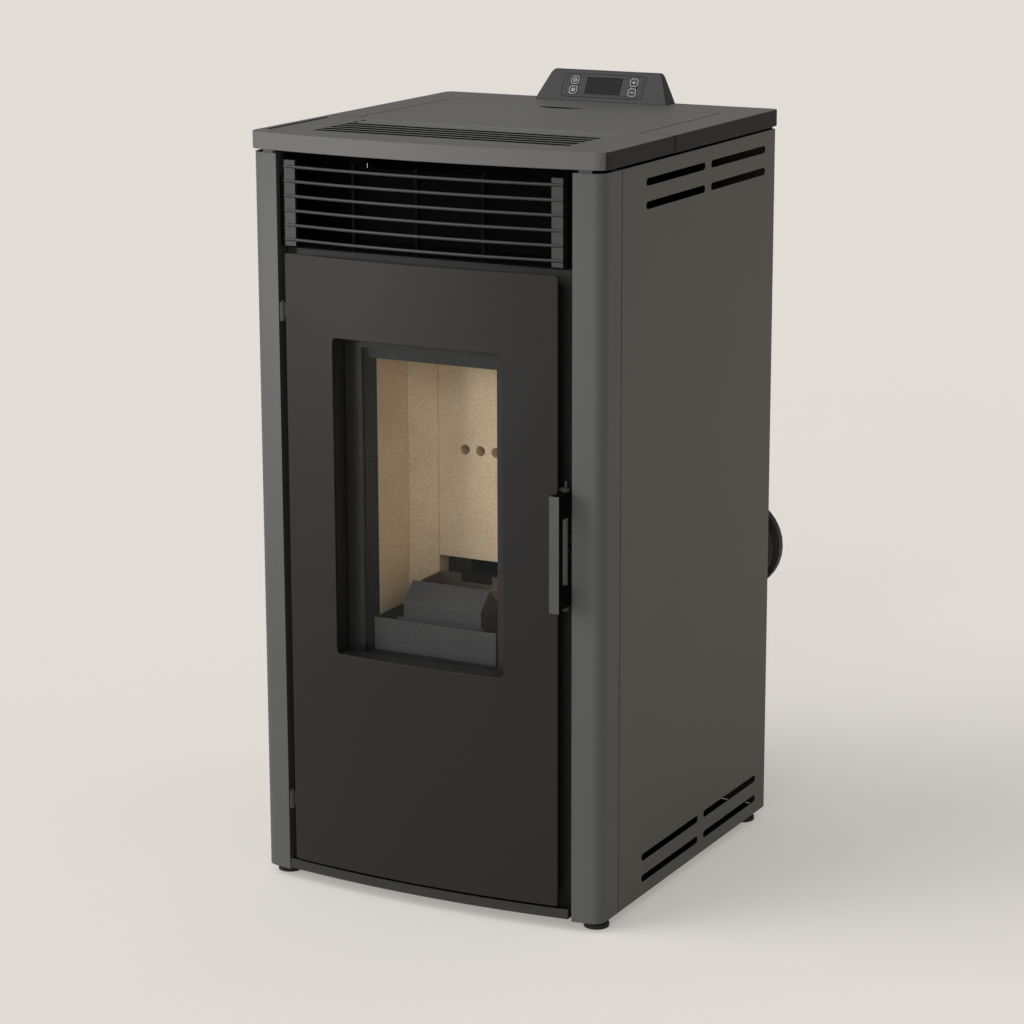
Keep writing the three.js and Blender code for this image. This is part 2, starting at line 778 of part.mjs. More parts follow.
function buildGrille() {
  const barAt = (z) => {
    const points = arcPoints(-grilleHalfWidth, grilleHalfWidth, -grilleBarRadius, 8);
    const curve = new THREE.CatmullRomCurve3(points.map(([x, y]) => new THREE.Vector3(x, y, z)));
    const section = new THREE.Shape();
    section.absarc(0, 0, grilleBarRadius, 0, Math.PI * 2);
    return solid(new THREE.ExtrudeGeometry(section, { steps: 8, curveSegments: 4, extrudePath: curve }));
  };
  const bars = Array.from({ length: grilleBars }, (_, i) => barAt(grilleBottom + i * grillePitch));
  const topBar = grilleBottom + (grilleBars - 1) * grillePitch;
  const span = [grilleBottom - grilleMargin[0], topBar + grilleMargin[1]];
  const behind = (x) => arcY(x, -grilleBarRadius);
  const supports = grilleSupports.map((x) =>
    box([x - grilleRib / 2, x + grilleRib / 2], [behind(x), behind(x) + grilleRibDepth], span));
  const plateX = grilleHalfWidth - grillePlate;
  const plateY = [behind(plateX) + grilleBarRadius / 2, behind(plateX) + 3 * grilleBarRadius];
  const ends = [-1, 1].map((s) => box(
    s > 0 ? [plateX, grilleHalfWidth] : [-grilleHalfWidth, -plateX],
    plateY, [plenumBottom + sheet + gap, span[1]]));
  place('air_grille', union(...bars, ...supports, ...ends), castIron);
}

function buildPlenum() {
  const x = grilleHalfWidth + 2 * sheet;
  const y = [arcY(0, -grilleBarRadius) + plenumInset, plenumRearY];
  const z = [plenumBottom, topZ - gap];
  const inletSpan = plenumInlet.z.map((dz) => z[0] + dz);
  const body = cut(
    box(mirrored(x), y, z),
    box(mirrored(x - sheet), [y[0] - past, y[1] - sheet], [z[0] + sheet, z[1] - sheet]),
    box(mirrored(plenumInlet.half), [y[1] - sheet - past, y[1] + past], inletSpan));
  const tabY = plenumTab.map((dy) => y[0] + dy);
  const tabZ = [z[0], z[1] - spacerHeight - plenumTab[1]];
  const tabs = both((s) => box(
    s > 0 ? [x - gap, pillarInner - gap] : [gap - pillarInner, gap - x], tabY, tabZ));
  place('air_outlet_box', union(body, tabs), blackPaint);
}

function buildTrim() {
  const face = arcStrip(trimHalfWidth, trimProud, trimProud - plate, [trimBottom, trimTop], 10);
  const shelfPoints = [
    ...arcPoints(-trimHalfWidth, trimHalfWidth, trimProud - past, 10),
    [trimHalfWidth, frontPlateY - gap], [-trimHalfWidth, frontPlateY - gap]];
  const shelf = prismZ(shelfPoints, [trimBottom, trimBottom + sheet]);
  place('bottom_trim', face.add(shelf), blackPaint);
}

// ---------------------------------------------------------------- door

const gasketBottom = mouthBottom - gasketBelowMouth;
const gasketTop = mouthTop + gasketAboveMouth;
const frameZ = [doorBottom + frameInset, doorTop - frameInset];
const pivotY = hingeY;
const hingeStop = 5;
const lugLength = 5;
const lugLap = 3;
const pinAbove = 13;

function buildDoor() {
  const panelOutline = roundedRectangle(-doorHalfWidth, doorHalfWidth, doorBottom, doorTop, doorCorner);
  const windowOutline = roundedRectangle(
    -windowHalfWidth, windowHalfWidth, windowBottom, windowTop, windowCorner);
  const through = [frontY - doorDepth, frontY + doorDepth];
  const skin = arcStrip(
    doorHalfWidth, doorProud, doorProud - doorSheet, [doorBottom - past, doorTop + past], 14);
  const panel = skin.intersect(prismY(panelOutline, through, 2)).subtract(prismY(windowOutline, through, 3));
  place('door_panel', panel, doorPaint);

  const face = doorProud - doorSheet - gap;
  const block = prismZ([...arcPoints(-frameHalfWidth, frameHalfWidth, face, 10),
    [frameHalfWidth, frameBackY], [-frameHalfWidth, frameBackY]], frameZ);
  const pocketDepth = [frontY - doorDepth, frameBackY - frameWall];
  const pocket = cut(
    box(mirrored(frameHalfWidth - frameWall), pocketDepth, [frameZ[0] + frameWall, frameZ[1] - frameWall]),
    box(mirrored(windowHalfWidth + frameWall), pocketDepth,
      [windowBottom - frameWall, windowTop + frameWall]));
  const reveal = box(mirrored(windowHalfWidth), pocketDepth, [windowBottom, windowTop]);
  const sight = box(mirrored(frameWindow),
    [frameBackY - 3 * frameWall, frameBackY + past], [frameWindowBottom, frameWindowTop]);
  const leafY = [hingeY - hingeLeaf / 2, hingeY + hingeLeaf / 2];
  const leafZ = (z) => [z + gap, z + hingeLength - sheet];
  const leaf = (z) => union(
    box([hingeX, past - frameHalfWidth], leafY, leafZ(z)),
    rod(hingeKnuckle, [hingeX, hingeY, leafZ(z)[0]], [hingeX, hingeY, leafZ(z)[1]], 16));
  const leafBore = (z) => rod(
    hingePin + gap, [hingeX, hingeY, z - past], [hingeX, hingeY, z + hingeLength + past], 12);
  const lug = (z) => union(
    box([frameHalfWidth - past, handlePivotX], leafY, z),
    rod(handleBoss, [handlePivotX, pivotY, z[0]], [handlePivotX, pivotY, z[1]], 16));
  const handlePin = rod(handlePinRadius,
    [handlePivotX, pivotY, handleBottom - lugLap + past], [handlePivotX, pivotY, handleTop + pinAbove], 12);
  const lugs = [
    [handleTop + gap, handleTop + lugLength], [handleBottom - lugLap, handleBottom + lugLap - gap]];
  const frame = union(cut(block, pocket, reveal, sight),
    cut(leaf(lowerHingeZ), leafBore(lowerHingeZ)), cut(leaf(upperHingeZ), leafBore(upperHingeZ)),
    lug(lugs[0]), lug(lugs[1]), handlePin);
  place('door_frame', frame, blackPaint);

  const glassY = [frameBackY - frameWall - gap - glassThickness, frameBackY - frameWall - gap];
  place('door_glass', box(
    mirrored(windowHalfWidth - gap), glassY, [windowBottom + gap, windowTop - gap]), glassBlack);

  const gasketY = [frameBackY + gap, frontPlateY - gap];
  const ring = (out) => roundedRectangle(
    -gasketInner - out, gasketInner + out, gasketBottom - out, gasketTop + out, gasketCorner + out);
  const seal = cut(
    prismY(ring(gasketWidth), gasketY, 4),
    prismY(ring(0), [gasketY[0] - past, gasketY[1] + past], 4));
  place('door_gasket', seal, gasketRope);

  for (const [name, z] of [['door_hinge_lower', lowerHingeZ], ['door_hinge_upper', upperHingeZ]]) {
    place(name, union(
      box([hingeX - hingeKnuckle, hingeX + hingeKnuckle], [hingeY, frontPlateY - gap], [z - hingeStop, z]),
      rod(hingeKnuckle, [hingeX, hingeY, z - hingeStop], [hingeX, hingeY, z], 16),
      rod(hingePin, [hingeX, hingeY, z - past], [hingeX, hingeY, z + hingeLength], 12)), blackPaint);
  }
}

function buildHandle() {
  const barX = mirrored(handleBarWidth / 2).map((dx) => handleBarX + dx);
  const barBody = box(barX, [handleFrontY, handleFrontY + handleBarDepth], [handleBottom, handleTop]);
  const armX = mirrored(handleBoss).map((dx) => handlePivotX + dx);
  const arm = (z) => union(
    box(armX, [handleFrontY + handleBarDepth - past, pivotY], z),
    rod(handleBoss, [handlePivotX, pivotY, z[0]], [handlePivotX, pivotY, z[1]], 16));
  const upper = [handleTop - upperArm, handleTop];
  const lower = [handleBottom + lugLap, handleBottom + lugLap + lowerArm];
  const shaft = rod(handleBoss - past,
    [handlePivotX, pivotY, lower[0] + past], [handlePivotX, pivotY, upper[1] - past], 12);
  const latchX = latchNose.x.map((dx) => handlePivotX + dx);
  const latchZ = mirrored(latchNose.half).map((dz) => handleMiddle + dz);
  const latch = box(latchX, [pivotY, pivotY + latchLength], latchZ);
  const bore = rod(handlePinRadius + gap,
    [handlePivotX, pivotY, handleBottom - past], [handlePivotX, pivotY, handleTop + past], 12);
  place('door_handle', cut(union(barBody, arm(upper), arm(lower), shaft, latch), bore), castIron);
}

// ---------------------------------------------------------------- fire box

function buildFireBox() {
  const mouthZ = [mouthBottom, mouthTop];
  const mouthY = [frontPlateY, frontPlateY + mouthDepth];
  // the mouth narrows towards the chamber
  const splayed = (wall, reach) => {
    const slope = mouthSplay / mouthDepth;
    const front = mouthHalfWidth + mouthSplay + wall + reach * slope;
    const rear = mouthHalfWidth + wall - reach * slope;
    return [[-front, mouthY[0] - reach], [front, mouthY[0] - reach],
      [rear, mouthY[1] + reach], [-rear, mouthY[1] + reach]];
  };
  const sheetPlate = box(
    mirrored(pillarInner - gap), [frontPlateY, frontPlateY + plate], [plate + gap, plenumBottom - gap]);
  const rim = prismZ(splayed(plate, 0), [mouthBottom - plate, mouthTop + plate]);
  const mouth = prismZ(splayed(0, past), mouthZ);
  const keeper = box([handlePivotX - keeperRoom.side, pillarInner - past],
    [pivotY + latchLength + keeperRoom.nose, frontPlateY + past],
    mirrored(keeperRoom.half).map((dz) => handleMiddle + dz));
  place('firebox_front', union(cut(union(sheetPlate, rim), mouth), keeper), blackPaint);

  const y = [shellFrontY, shellBackY];
  const z = [mouthBottom, chamberTop];
  const shell = cut(
    box(mirrored(shellInner + plate), [y[0], y[1] + plate], [z[0] - plate, z[1] + plate]),
    box(mirrored(shellInner), [y[0] - past, y[1]], z),
    // the seat of the mouth's rim, the pellet mouth, the igniter, the flue gas hole and the air hole
    box(mirrored(mouthHalfWidth + mouthSplay + plate + gap), [y[0] - past, mouthY[1] + gap],
      [z[0] - plate - past, z[1] - shellLintel]),
    box(mirrored(chuteHalfWidth - sheet), [y[1] - past, y[1] + plate + past],
      [chuteBottom + sheet, chuteTop - sheet]),
    rod(igniterRadius + 1, [0, y[1] - past, igniterZ], [0, y[1] + plate + past, igniterZ], 12),
    box(flueSlot.x.map((dx) => mouthHalfWidth + dx), [y[1] - past, y[1] + plate + past],
      flueSlot.z.map((dz) => mouthBottom + dz)),
    box(airHole.x, airHole.y, [z[0] - plate - past, z[0] + past]));
  place('firebox_shell', shell, blackPaint);

  const brickZ = [mouthBottom + gap, brickTop];
  const holes = [-1, 0, 1].map((i) => rod(airHoleRadius,
    [i * airHolePitch, chamberBackY - past, airHoleZ],
    [i * airHolePitch, chamberBackY + brick + past, airHoleZ], 16));
  place('back_brick', cut(box(mirrored(backHalfWidth - gap), [chamberBackY, chamberBackY + brick],
    [backBrickBottom, brickTop]), ...holes), vermiculite);
  for (const [name, s] of [['left', -1], ['right', 1]]) {
    const sideX = s > 0
      ? [mouthHalfWidth, mouthHalfWidth + brick] : [-mouthHalfWidth - brick, -mouthHalfWidth];
    place(`${name}_brick`, box(sideX, [mouthY[1] + 2 * gap, cornerFrontY - gap], brickZ), vermiculite);
    const corner = [
      [backHalfWidth, chamberBackY], [mouthHalfWidth, cornerFrontY], [mouthHalfWidth + brick, cornerFrontY],
      [mouthHalfWidth + brick, chamberBackY + brick], [backHalfWidth, chamberBackY + brick]];
    const points = s > 0 ? corner : corner.map(([px, py]) => [-px, py]).reverse();
    place(`${name}_corner_brick`, prismZ(points, brickZ), vermiculite);
  }
  place('baffle_plate', box(mirrored(shellInner - sheet), [baffleFrontY, baffleRearY],
    [brickTop + gap, chamberTop - gap]), vermiculite);
}

// ---------------------------------------------------------------- burn pot, liner and ash pan

function buildPot() {
  const slopeY = potPeakY + (potPeak - potRearTop);
  const outline = [
    [potFrontY, potBottom], [potRearY, potBottom], [potRearY, potRearTop], [slopeY, potRearTop],
    [potPeakY, potPeak], [potFrontY, potFold]];
  const hoodRear = potPeakY + potWall + gap;
  const hollow = [
    [potFrontY + potWall, potBottom + potWall], [potRearY - potWall, potBottom + potWall],
    [potRearY - potWall, potPeak + potWall], [hoodRear, potPeak + potWall],
    [hoodRear, potPeak - potWall / 2], [potFrontY + potWall, potFold - potWall / 2]];
  const pot = cut(
    prismX(outline, mirrored(potHalfWidth)), prismX(hollow, mirrored(potHalfWidth - potWall)),
    box(mirrored(potHalfWidth - potLedge.side), [potFrontY + potLedge.front, potRearY - potLedge.rear],
      [potBottom - past, potBottom + potWall + past]));
  place('burn_pot', pot, castIron);

  const half = potHalfWidth - potWall - gap;
  const y = [hoodRear + 2 * gap, potRearY - potWall - gap];
  const z = [potBottom + potWall + gap, linerTop];
  const grateHoles = [];
  for (let i = 0; i < grateHole.columns; i += 1) {
    for (let j = 0; j < grateHole.rows; j += 1) {
      const x = (i - (grateHole.columns - 1) / 2) * grateHole.pitchX;
      const holeY = y[0] + grateHole.pitchX + j * grateHole.pitchY;
      grateHoles.push(rod(
        grateHole.radius, [x, holeY, z[0] - past], [x, holeY, z[0] + linerWall + past], 6));
    }
  }
  place('pot_liner', cut(
    box(mirrored(half), y, z),
    box(mirrored(half - linerWall), [y[0] + linerWall, y[1] - linerWall], [z[0] + linerWall, z[1] + past]),
    box(mirrored(linerNotch.half), [y[1] - linerWall - past, y[1] + past],
      [z[1] - linerNotch.depth, z[1] + past]),
    ...grateHoles), tintedSteel);

  const cutX = potHalfWidth + panClearance;
  const cutY = potFrontY - panClearance;
  const armY = [cutY - panWall - past, panRearY - panWall];
  const inPan = [panBottom + panWall, panTop + past];
  place('ash_pan', cut(
    box(mirrored(panHalfWidth), [panFrontY, panRearY], [panBottom, panTop]),
    box(mirrored(cutX), [cutY, panRearY + past], [panBottom - past, panTop + past]),
    box(mirrored(panHalfWidth - panWall), [panFrontY + panWall, cutY - panWall], inPan),
    box([cutX + panWall, panHalfWidth - panWall], armY, inPan),
    box([-panHalfWidth + panWall, -cutX - panWall], armY, inPan)), castIron);
}

// ---------------------------------------------------------------- pellet feed

const feed = (() => {
  const low = new THREE.Vector3(0, augerLowY, augerLowZ);
  const high = new THREE.Vector3(0, augerHighY, augerHighZ);
  const along = high.clone().sub(low).normalize();
  const at = (distance) => low.clone().addScaledVector(along, distance).toArray();
  const slope = along.z / along.y;
  const across = new THREE.Vector3(0, along.z, -along.y);
  // z of the tube's upper side at y, and of the inner face of its closed end
  const topZ = (y, radius) => {
    const side = low.clone().addScaledVector(across, radius);
    return side.z + (y - side.y) * slope;
  };
  const capZ = (y, wall) => {
    const end = high.clone().addScaledVector(along, -wall);
    return end.z - (y - end.y) / slope;
  };
  const under = high.clone().addScaledVector(across, -tubeRadius);
  const dropY = [under.y + 0.5, under.y + (dropZ + 4 - under.z) / slope];
  return { low, high, along, length: low.distanceTo(high), at, topZ, capZ, dropY };
})();

const stepsPerTurn = 10;

// a straight-sided worm round the Z axis, from z = 0 up
function worm(radius, root, blade, pitch, turns) {
  const steps = Math.round(turns * stepsPerTurn);
  const positions = [];
  const index = [];
  for (let i = 0; i <= steps; i += 1) {
    const angle = (i / stepsPerTurn) * Math.PI * 2;
    const z = (i / stepsPerTurn) * pitch;
    const [c, s] = [Math.cos(angle), Math.sin(angle)];
    positions.push(root * c, root * s, z, radius * c, radius * s, z);
    positions.push(radius * c, radius * s, z + blade, root * c, root * s, z + blade);
    if (i === steps) break;
    for (let k = 0; k < 4; k += 1) {
      const [a, b] = [i * 4 + k, i * 4 + ((k + 1) % 4)];
      index.push(a, b + 4, b, a, a + 4, b + 4);
    }
  }
  const last = steps * 4;
  index.push(0, 1, 2, 0, 2, 3, last, last + 2, last + 1, last, last + 3, last + 2);
  const geometry = new THREE.BufferGeometry();
  geometry.setAttribute('position', new THREE.BufferAttribute(new Float32Array(positions), 3));
  geometry.setIndex(index);
  return solid(geometry);
}

function buildFeed() {
  const inner = tubeRadius - tubeWall;
  const neckX = throatHalfWidth;
  const tube = rod(tubeRadius, feed.at(0), feed.at(feed.length), 20);
  const bore = rod(inner, feed.at(-1), feed.at(feed.length - tubeWall - 1), 20);
  const neckLow = feed.topZ(throatRearY, inner) - 2 * tubeWall;
  const neck = box(mirrored(neckX), [throatFrontY, throatRearY], [neckLow, throatZ]);
  const neckHole = box(
    mirrored(neckX - tubeWall), [throatFrontY + tubeWall, throatRearY - tubeWall], [neckLow, throatZ + past]);
  const capZ = (y) => feed.capZ(y, tubeWall + 1);
  const holeTop = (y) => capZ(y) - past;
  const drop = box(mirrored(neckX), feed.dropY, [dropZ, capZ(feed.dropY[1])]);
  const dropIn = [feed.dropY[0] + tubeWall, feed.dropY[1] - tubeWall];
  const dropHole = prismX([[dropIn[0], dropZ - past], [dropIn[1], dropZ - past],
    [dropIn[1], holeTop(dropIn[1])], [dropIn[0], holeTop(dropIn[0])]], mirrored(neckX - tubeWall));
  // what would stand out through the closed end of the tube is taken off the drop
  const [outFront, outRear] = [feed.dropY[0] - tubeRadius, feed.dropY[1]];
  const outTop = capZ(outRear) + 3 * tubeRadius;
  const outside = prismX([
    [outFront, capZ(outFront) + 2 * tubeWall], [outRear, capZ(outRear) + 2 * tubeWall],
    [outRear, outTop], [outFront, outTop]], mirrored(neckX + past));
  place('auger_tube', cut(union(tube, neck, cut(drop, outside)), bore, neckHole, dropHole), zincSteel);

  // the shaft's flats face the worm's radial edges
  const shaftOutline = Array.from({ length: stepsPerTurn }, (_, i) => {
    const angle = ((i + 0.5) * Math.PI * 2) / stepsPerTurn;
    return [screwShaft * Math.cos(angle), screwShaft * Math.sin(angle)];
  });
  const pitch = (feed.length - screwEnd * 3) / screwTurns;
  const blades = worm(screwRadius, screwShaft - sheet, screwBlade, pitch, screwTurns);
  const shaft = prismZ(shaftOutline, [-shaftBelow, feed.length - 2 * tubeWall]);
  const screw = shaft.add(blades.translate([0, 0, screwEnd]));
  const tilt = THREE.MathUtils.radToDeg(Math.atan2(-feed.along.y, feed.along.z));
  place('auger_screw', screw.rotate([tilt, 0, 0]).translate(feed.at(0)), zincSteel);

  const motor = union(
    rod(motorFlange.radius, feed.at(-motorFlange.thickness), feed.at(-gap), 20),
    rod(motorBody.radius, feed.at(-motorBody.length), feed.at(past - motorFlange.thickness), 20));
  const socket = rod(screwShaft + gap, feed.at(-motorBore), feed.at(past), 12);
  place('auger_motor', cut(motor, socket), blackPaint);

  const backY = shellBackY + plate + gap;
  const [dropFront, dropRear] = feed.dropY;
  const chute = [[backY, chuteBottom], [dropRear, dropZ - chuteFall], [dropRear, dropZ - gap],
    [dropFront, dropZ - gap], [backY, chuteTop]];
  const way = [[backY - past, chuteBottom + sheet], [dropRear - sheet, dropZ - chuteFall + sheet],
    [dropRear - sheet, dropZ + past], [dropFront + sheet, dropZ + past], [backY - past, chuteTop - sheet]];
  place('pellet_chute', cut(
    prismX(chute, mirrored(chuteHalfWidth)), prismX(way, mirrored(chuteHalfWidth - sheet))), zincSteel);
}

function buildHopper() {
  const rect = (half, y0, y1, inset) => [-half + inset, half - inset, y0 + inset, y1 - inset];
  const mouth = (inset) => rect(hopperHalfWidth, hopperFrontY, hopperRearY, inset);
  const throat = (inset) => rect(throatHalfWidth, throatFrontY, throatRearY, inset);
  const z = throatZ + gap;
  const skin = union(hopperBody(throat(0), z, mouth(0), hopperShoulder),
    box(mirrored(hopperHalfWidth), [hopperFrontY, hopperRearY], [hopperShoulder, hopperTop]));
  const space = union(hopperBody(throat(sheet), z, mouth(sheet), hopperShoulder),
    box(mirrored(hopperHalfWidth - sheet), [hopperFrontY + sheet, hopperRearY - sheet],
      [hopperShoulder, hopperTop + past]));
  const below = box(
    mirrored(throatHalfWidth - sheet), [throatFrontY + sheet, throatRearY - sheet], [z - past, z + sheet]);
  place('pellet_hopper', cut(skin, space, below), zincSteel);

  const gridZ = hopperTop - gridDepth;
  const halfBar = gridBar / 2;
  const bars = [];
  for (let i = -2; i <= 2; i += 1) {
    const x = i * gridPitch;
    bars.push(box([x - halfBar, x + halfBar],
      [hopperFrontY + sheet + gap, hopperRearY - sheet - gap], [gridZ, gridZ + gridBar]));
  }
  for (const y of [hopperFrontY + gridInset, hopperRearY - gridInset]) {
    bars.push(box(mirrored(hopperHalfWidth - sheet - gap), [y - halfBar, y + halfBar],
      [gridZ - halfBar / 2, gridZ + gridBar - halfBar / 2]));
  }
  place('hopper_grille', union(...bars), zincSteel);
}

// ---------------------------------------------------------------- air, flue gas and electrics

const fanFromSide = 50;
const fan = {
  x: [fanFromSide - halfWidth, -20], y: 120, z: 78, radius: 28, shell: 40, blades: 8, clearance: 4,
  legWidth: 12, legDepth: 16,
  outlet: { inset: 10, height: 30 }, motorRadius: 24, motorLength: 50, bearing: 18,
};
const blowerHalfWidth = 27;
const blower = {
  x: mirrored(blowerHalfWidth).map((dx) => flueX + dx),
  y: 60, radius: 58, wheel: 44, blades: 8, wall: 3, clearance: 8, outletY: 150,
  inletRadius: 20, motorRadius: 28, motorLength: 44, bearing: 18,
};
const duct = { rear: 12, below: 26, top: 6 };
const fanShaft = 4.6;
const fanBore = 5;

// a drum of flat blades on a disc and a hub, along X
function fanWheel(radius, hub, blades, x, y, z) {
  const parts = [
    rod(hub, [x[0], y, z], [x[1], y, z], 12), rod(radius, [x[0], y, z], [x[0] + sheet, y, z], 20)];
  for (let i = 0; i < blades; i += 1) {
    const blade = box([x[0], x[1]], mirrored(sheet / 2), [hub - sheet, radius - 1]);
    parts.push(blade.rotate([(360 / blades) * i, 0, 0]).translate([0, y, z]));
  }
  return union(...parts);
}

function buildRoomFan() {
  const { y, z, shell, clearance, outlet } = fan;
  const [x0, x1] = fan.x;
  const floorZ = plate + gap;
  const outerX = [x0 - clearance - sheet, x1 + clearance + sheet];
  const shellBottom = z - fan.radius - clearance - sheet * 8;
  const legTop = shellBottom + 2 * sheet;
  const alongX = (radius, from, to, segments) => rod(radius, [from, y, z], [to, y, z], segments);
  const outer = box(outerX, [y - shell, y + shell], [shellBottom, z + shell]);
  const legs = union(...[x0, x1 - fan.legWidth].map((x) =>
    box([x, x + fan.legWidth], [y - fan.legDepth / 2, y + fan.legDepth / 2], [floorZ, legTop])));
  const inner = box([x0 - clearance, x1 + clearance], [y - shell + sheet, y + shell + past],
    [shellBottom + sheet, z + shell - sheet]);
  const outletHole = box([x0 + outlet.inset, x1 - outlet.inset], [y - shell - past, y - shell + sheet + past],
    [z, z + outlet.height]);
  const motor = alongX(fan.motorRadius, outerX[1] - gap, x1 + fan.motorLength, 20);
  const shaftHole = alongX(fanBore, x1, x1 + fan.bearing + 2, 12);
  const endHole = alongX(fanBore, outerX[0] - past, x0, 12);
  const housing = union(cut(outer, inner, outletHole), legs, motor);
  place('room_fan_housing', cut(housing, shaftHole, endHole), blackPaint);
  const wheel = fanWheel(fan.radius, fan.blades, fan.blades, [x0 + 2, x1 - 2], y, z);
  const shaft = alongX(fanShaft, outerX[0] + past, x1 + fan.bearing, 12);
  place('room_fan_impeller', wheel.add(shaft), zincSteel);
}

function buildFlueFan() {
  const { y, wall, inletRadius } = blower;
  const [x0, x1] = blower.x;
  const halfOutlet = (x1 - x0) / 2;
  const z = flueZ + halfOutlet - blower.radius;
  const alongX = (radius, from, to, segments) => rod(radius, [from, y, z], [to, y, z], segments);
  const drum = (inset, rear) => union(
    alongX(blower.radius - inset, x0 + inset, x1 - inset, 24),
    box([x0 + inset, x1 - inset], [y, rear], [flueZ - halfOutlet + inset, flueZ + halfOutlet - inset]));
  const outer = drum(0, blower.outletY);
  const inner = drum(wall, blower.outletY + past);
  const inletHole = alongX(inletRadius, x0 - past, x0 + wall + past, 20);
  const motor = alongX(blower.motorRadius, x1 - gap, x1 + blower.motorLength, 20);
  const shaftHole = alongX(fanBore, x1 - wall - past, x1 + blower.bearing + 2, 12);
  place('flue_fan_housing', cut(union(cut(outer, inner, inletHole), motor), shaftHole), castIron);
  const wheelX = [x0 + blower.clearance, x1 - blower.clearance];
  const wheel = fanWheel(blower.wheel, 10, blower.blades, wheelX, y, z);
  const shaft = alongX(fanShaft, wheelX[1] - past, x1 + blower.bearing, 12);
  place('flue_fan_impeller', wheel.add(shaft), zincSteel);

  const ductX = [mouthHalfWidth - past, x0 - gap];
  const ductY = [shellBackY + plate + gap, y + inletRadius + duct.rear];
  const ductZ = [mouthBottom - duct.below, flueZ - duct.top];
  place('flue_duct', cut(
    box(ductX, ductY, ductZ),
    box([ductX[0] + sheet, ductX[1] - sheet], [ductY[0] - past, ductY[1] - sheet],
      [ductZ[0] + sheet, ductZ[1] - sheet]),
    alongX(inletRadius, ductX[1] - 2 * sheet, ductX[1] + past, 20)), zincSteel);
}

function buildFlue() {
  const halfOutlet = (blower.x[1] - blower.x[0]) / 2;
  const pipeY = [blower.outletY + gap, flueEndY];
  const alongY = (radius, from, to) => rod(radius, [flueX, from, flueZ], [flueX, to, flueZ], 32);
  const square = (half, y) => box(
    mirrored(half).map((dx) => flueX + dx), y, mirrored(half).map((dz) => flueZ + dz));
  const pipe = cut(
    union(alongY(flueRadius, pipeY[0], pipeY[1]), square(flueRadius + 2, [pipeY[0], pipeY[0] + plate])),
    alongY(flueRadius - flueWall, pipeY[0] + plate, pipeY[1] + past),
    square(halfOutlet - blower.wall, [pipeY[0] - past, pipeY[0] + plate + past]));
  place('flue_pipe', pipe, blackPaint);

  const bore = flueRadius + gap;
  const { tube, foot, chamfer, rim, lip, dish } = collarForm;
  const front = flueEndY - collarLength;
  const collar = [
    [bore, front], [bore + foot, front], [tube, front + chamfer], [tube, flueEndY - rim - 2],
    [collarRadius, flueEndY - rim], [collarRadius, flueEndY], [collarRadius - lip, flueEndY],
    [collarRadius - lip - 2, flueEndY - dish], [bore, flueEndY - dish], [bore, front]];
  place('flue_collar', turned(collar, [flueX, 0, flueZ], 'y', 32), blackPaint);
}

// the gap in the fire box floor that lets combustion air up into the burn pot
const airHole = { x: mirrored(28), y: [51, 91].map((dy) => frontPlateY + dy) };
const airBox = { right: 40, y: [41, 106].map((dy) => frontPlateY + dy) };

function buildAir() {
  const boxX = [intakeX - intakeRadius - plate, airBox.right];
  const boxY = airBox.y;
  const boxZ = [intakeZ - intakeRadius - plate, mouthBottom - plate - gap];
  const inside = ([low, high]) => [low + sheet, high - sheet];
  const pipe = (radius, from, to) => rod(radius, [intakeX, from, intakeZ], [intakeX, to, intakeZ], 24);
  place('air_intake', cut(
    union(box(boxX, boxY, boxZ), pipe(intakeRadius, boxY[1] - past, intakeEndY)),
    box(inside(boxX), inside(boxY), inside(boxZ)),
    box(airHole.x, airHole.y, [boxZ[1] - sheet - past, boxZ[1] + past]),
    pipe(intakeRadius - sheet, boxY[1] - sheet - past, intakeEndY + past)), zincSteel);
  const y = shellBackY + plate + gap;
  place('igniter', union(
    rod(igniterRadius, [0, potRearY + gap, igniterZ], [0, y + igniterTail, igniterZ], 12),
    rod(igniterFlange.radius, [0, y, igniterZ], [0, y + igniterFlange.thickness, igniterZ], 16)), zincSteel);
}

// heights on the board are measured from its left face
const board = {
  x: 8 - halfWidth, thickness: 2, y: [65, 210], z: [150, 300], postSize: 6, postInset: 10,
  transformer: { x: [1, 20], y: [95, 135], z: [200, 260] },
  terminals: { x: [1, 14], y: [152, 182], z: [180, 220] },
};

function buildBoard() {
  const { x, thickness, y, z, postSize, postInset } = board;
  const part = ({ x: px, y: py, z: pz }) => box(px.map((dx) => x + dx), py, pz);
  const postX = [-halfWidth + sheet + gap, x + thickness / 2];
  const posts = [y[0] + postInset, y[1] - postInset - postSize].flatMap((py) =>
    [z[0] + postInset, z[1] - postInset - postSize].map((pz) =>
      box(postX, [py, py + postSize], [pz, pz + postSize])));
  place('control_board', union(
    box([x, x + thickness], y, z), part(board.transformer), part(board.terminals), ...posts), boardGreen);
}

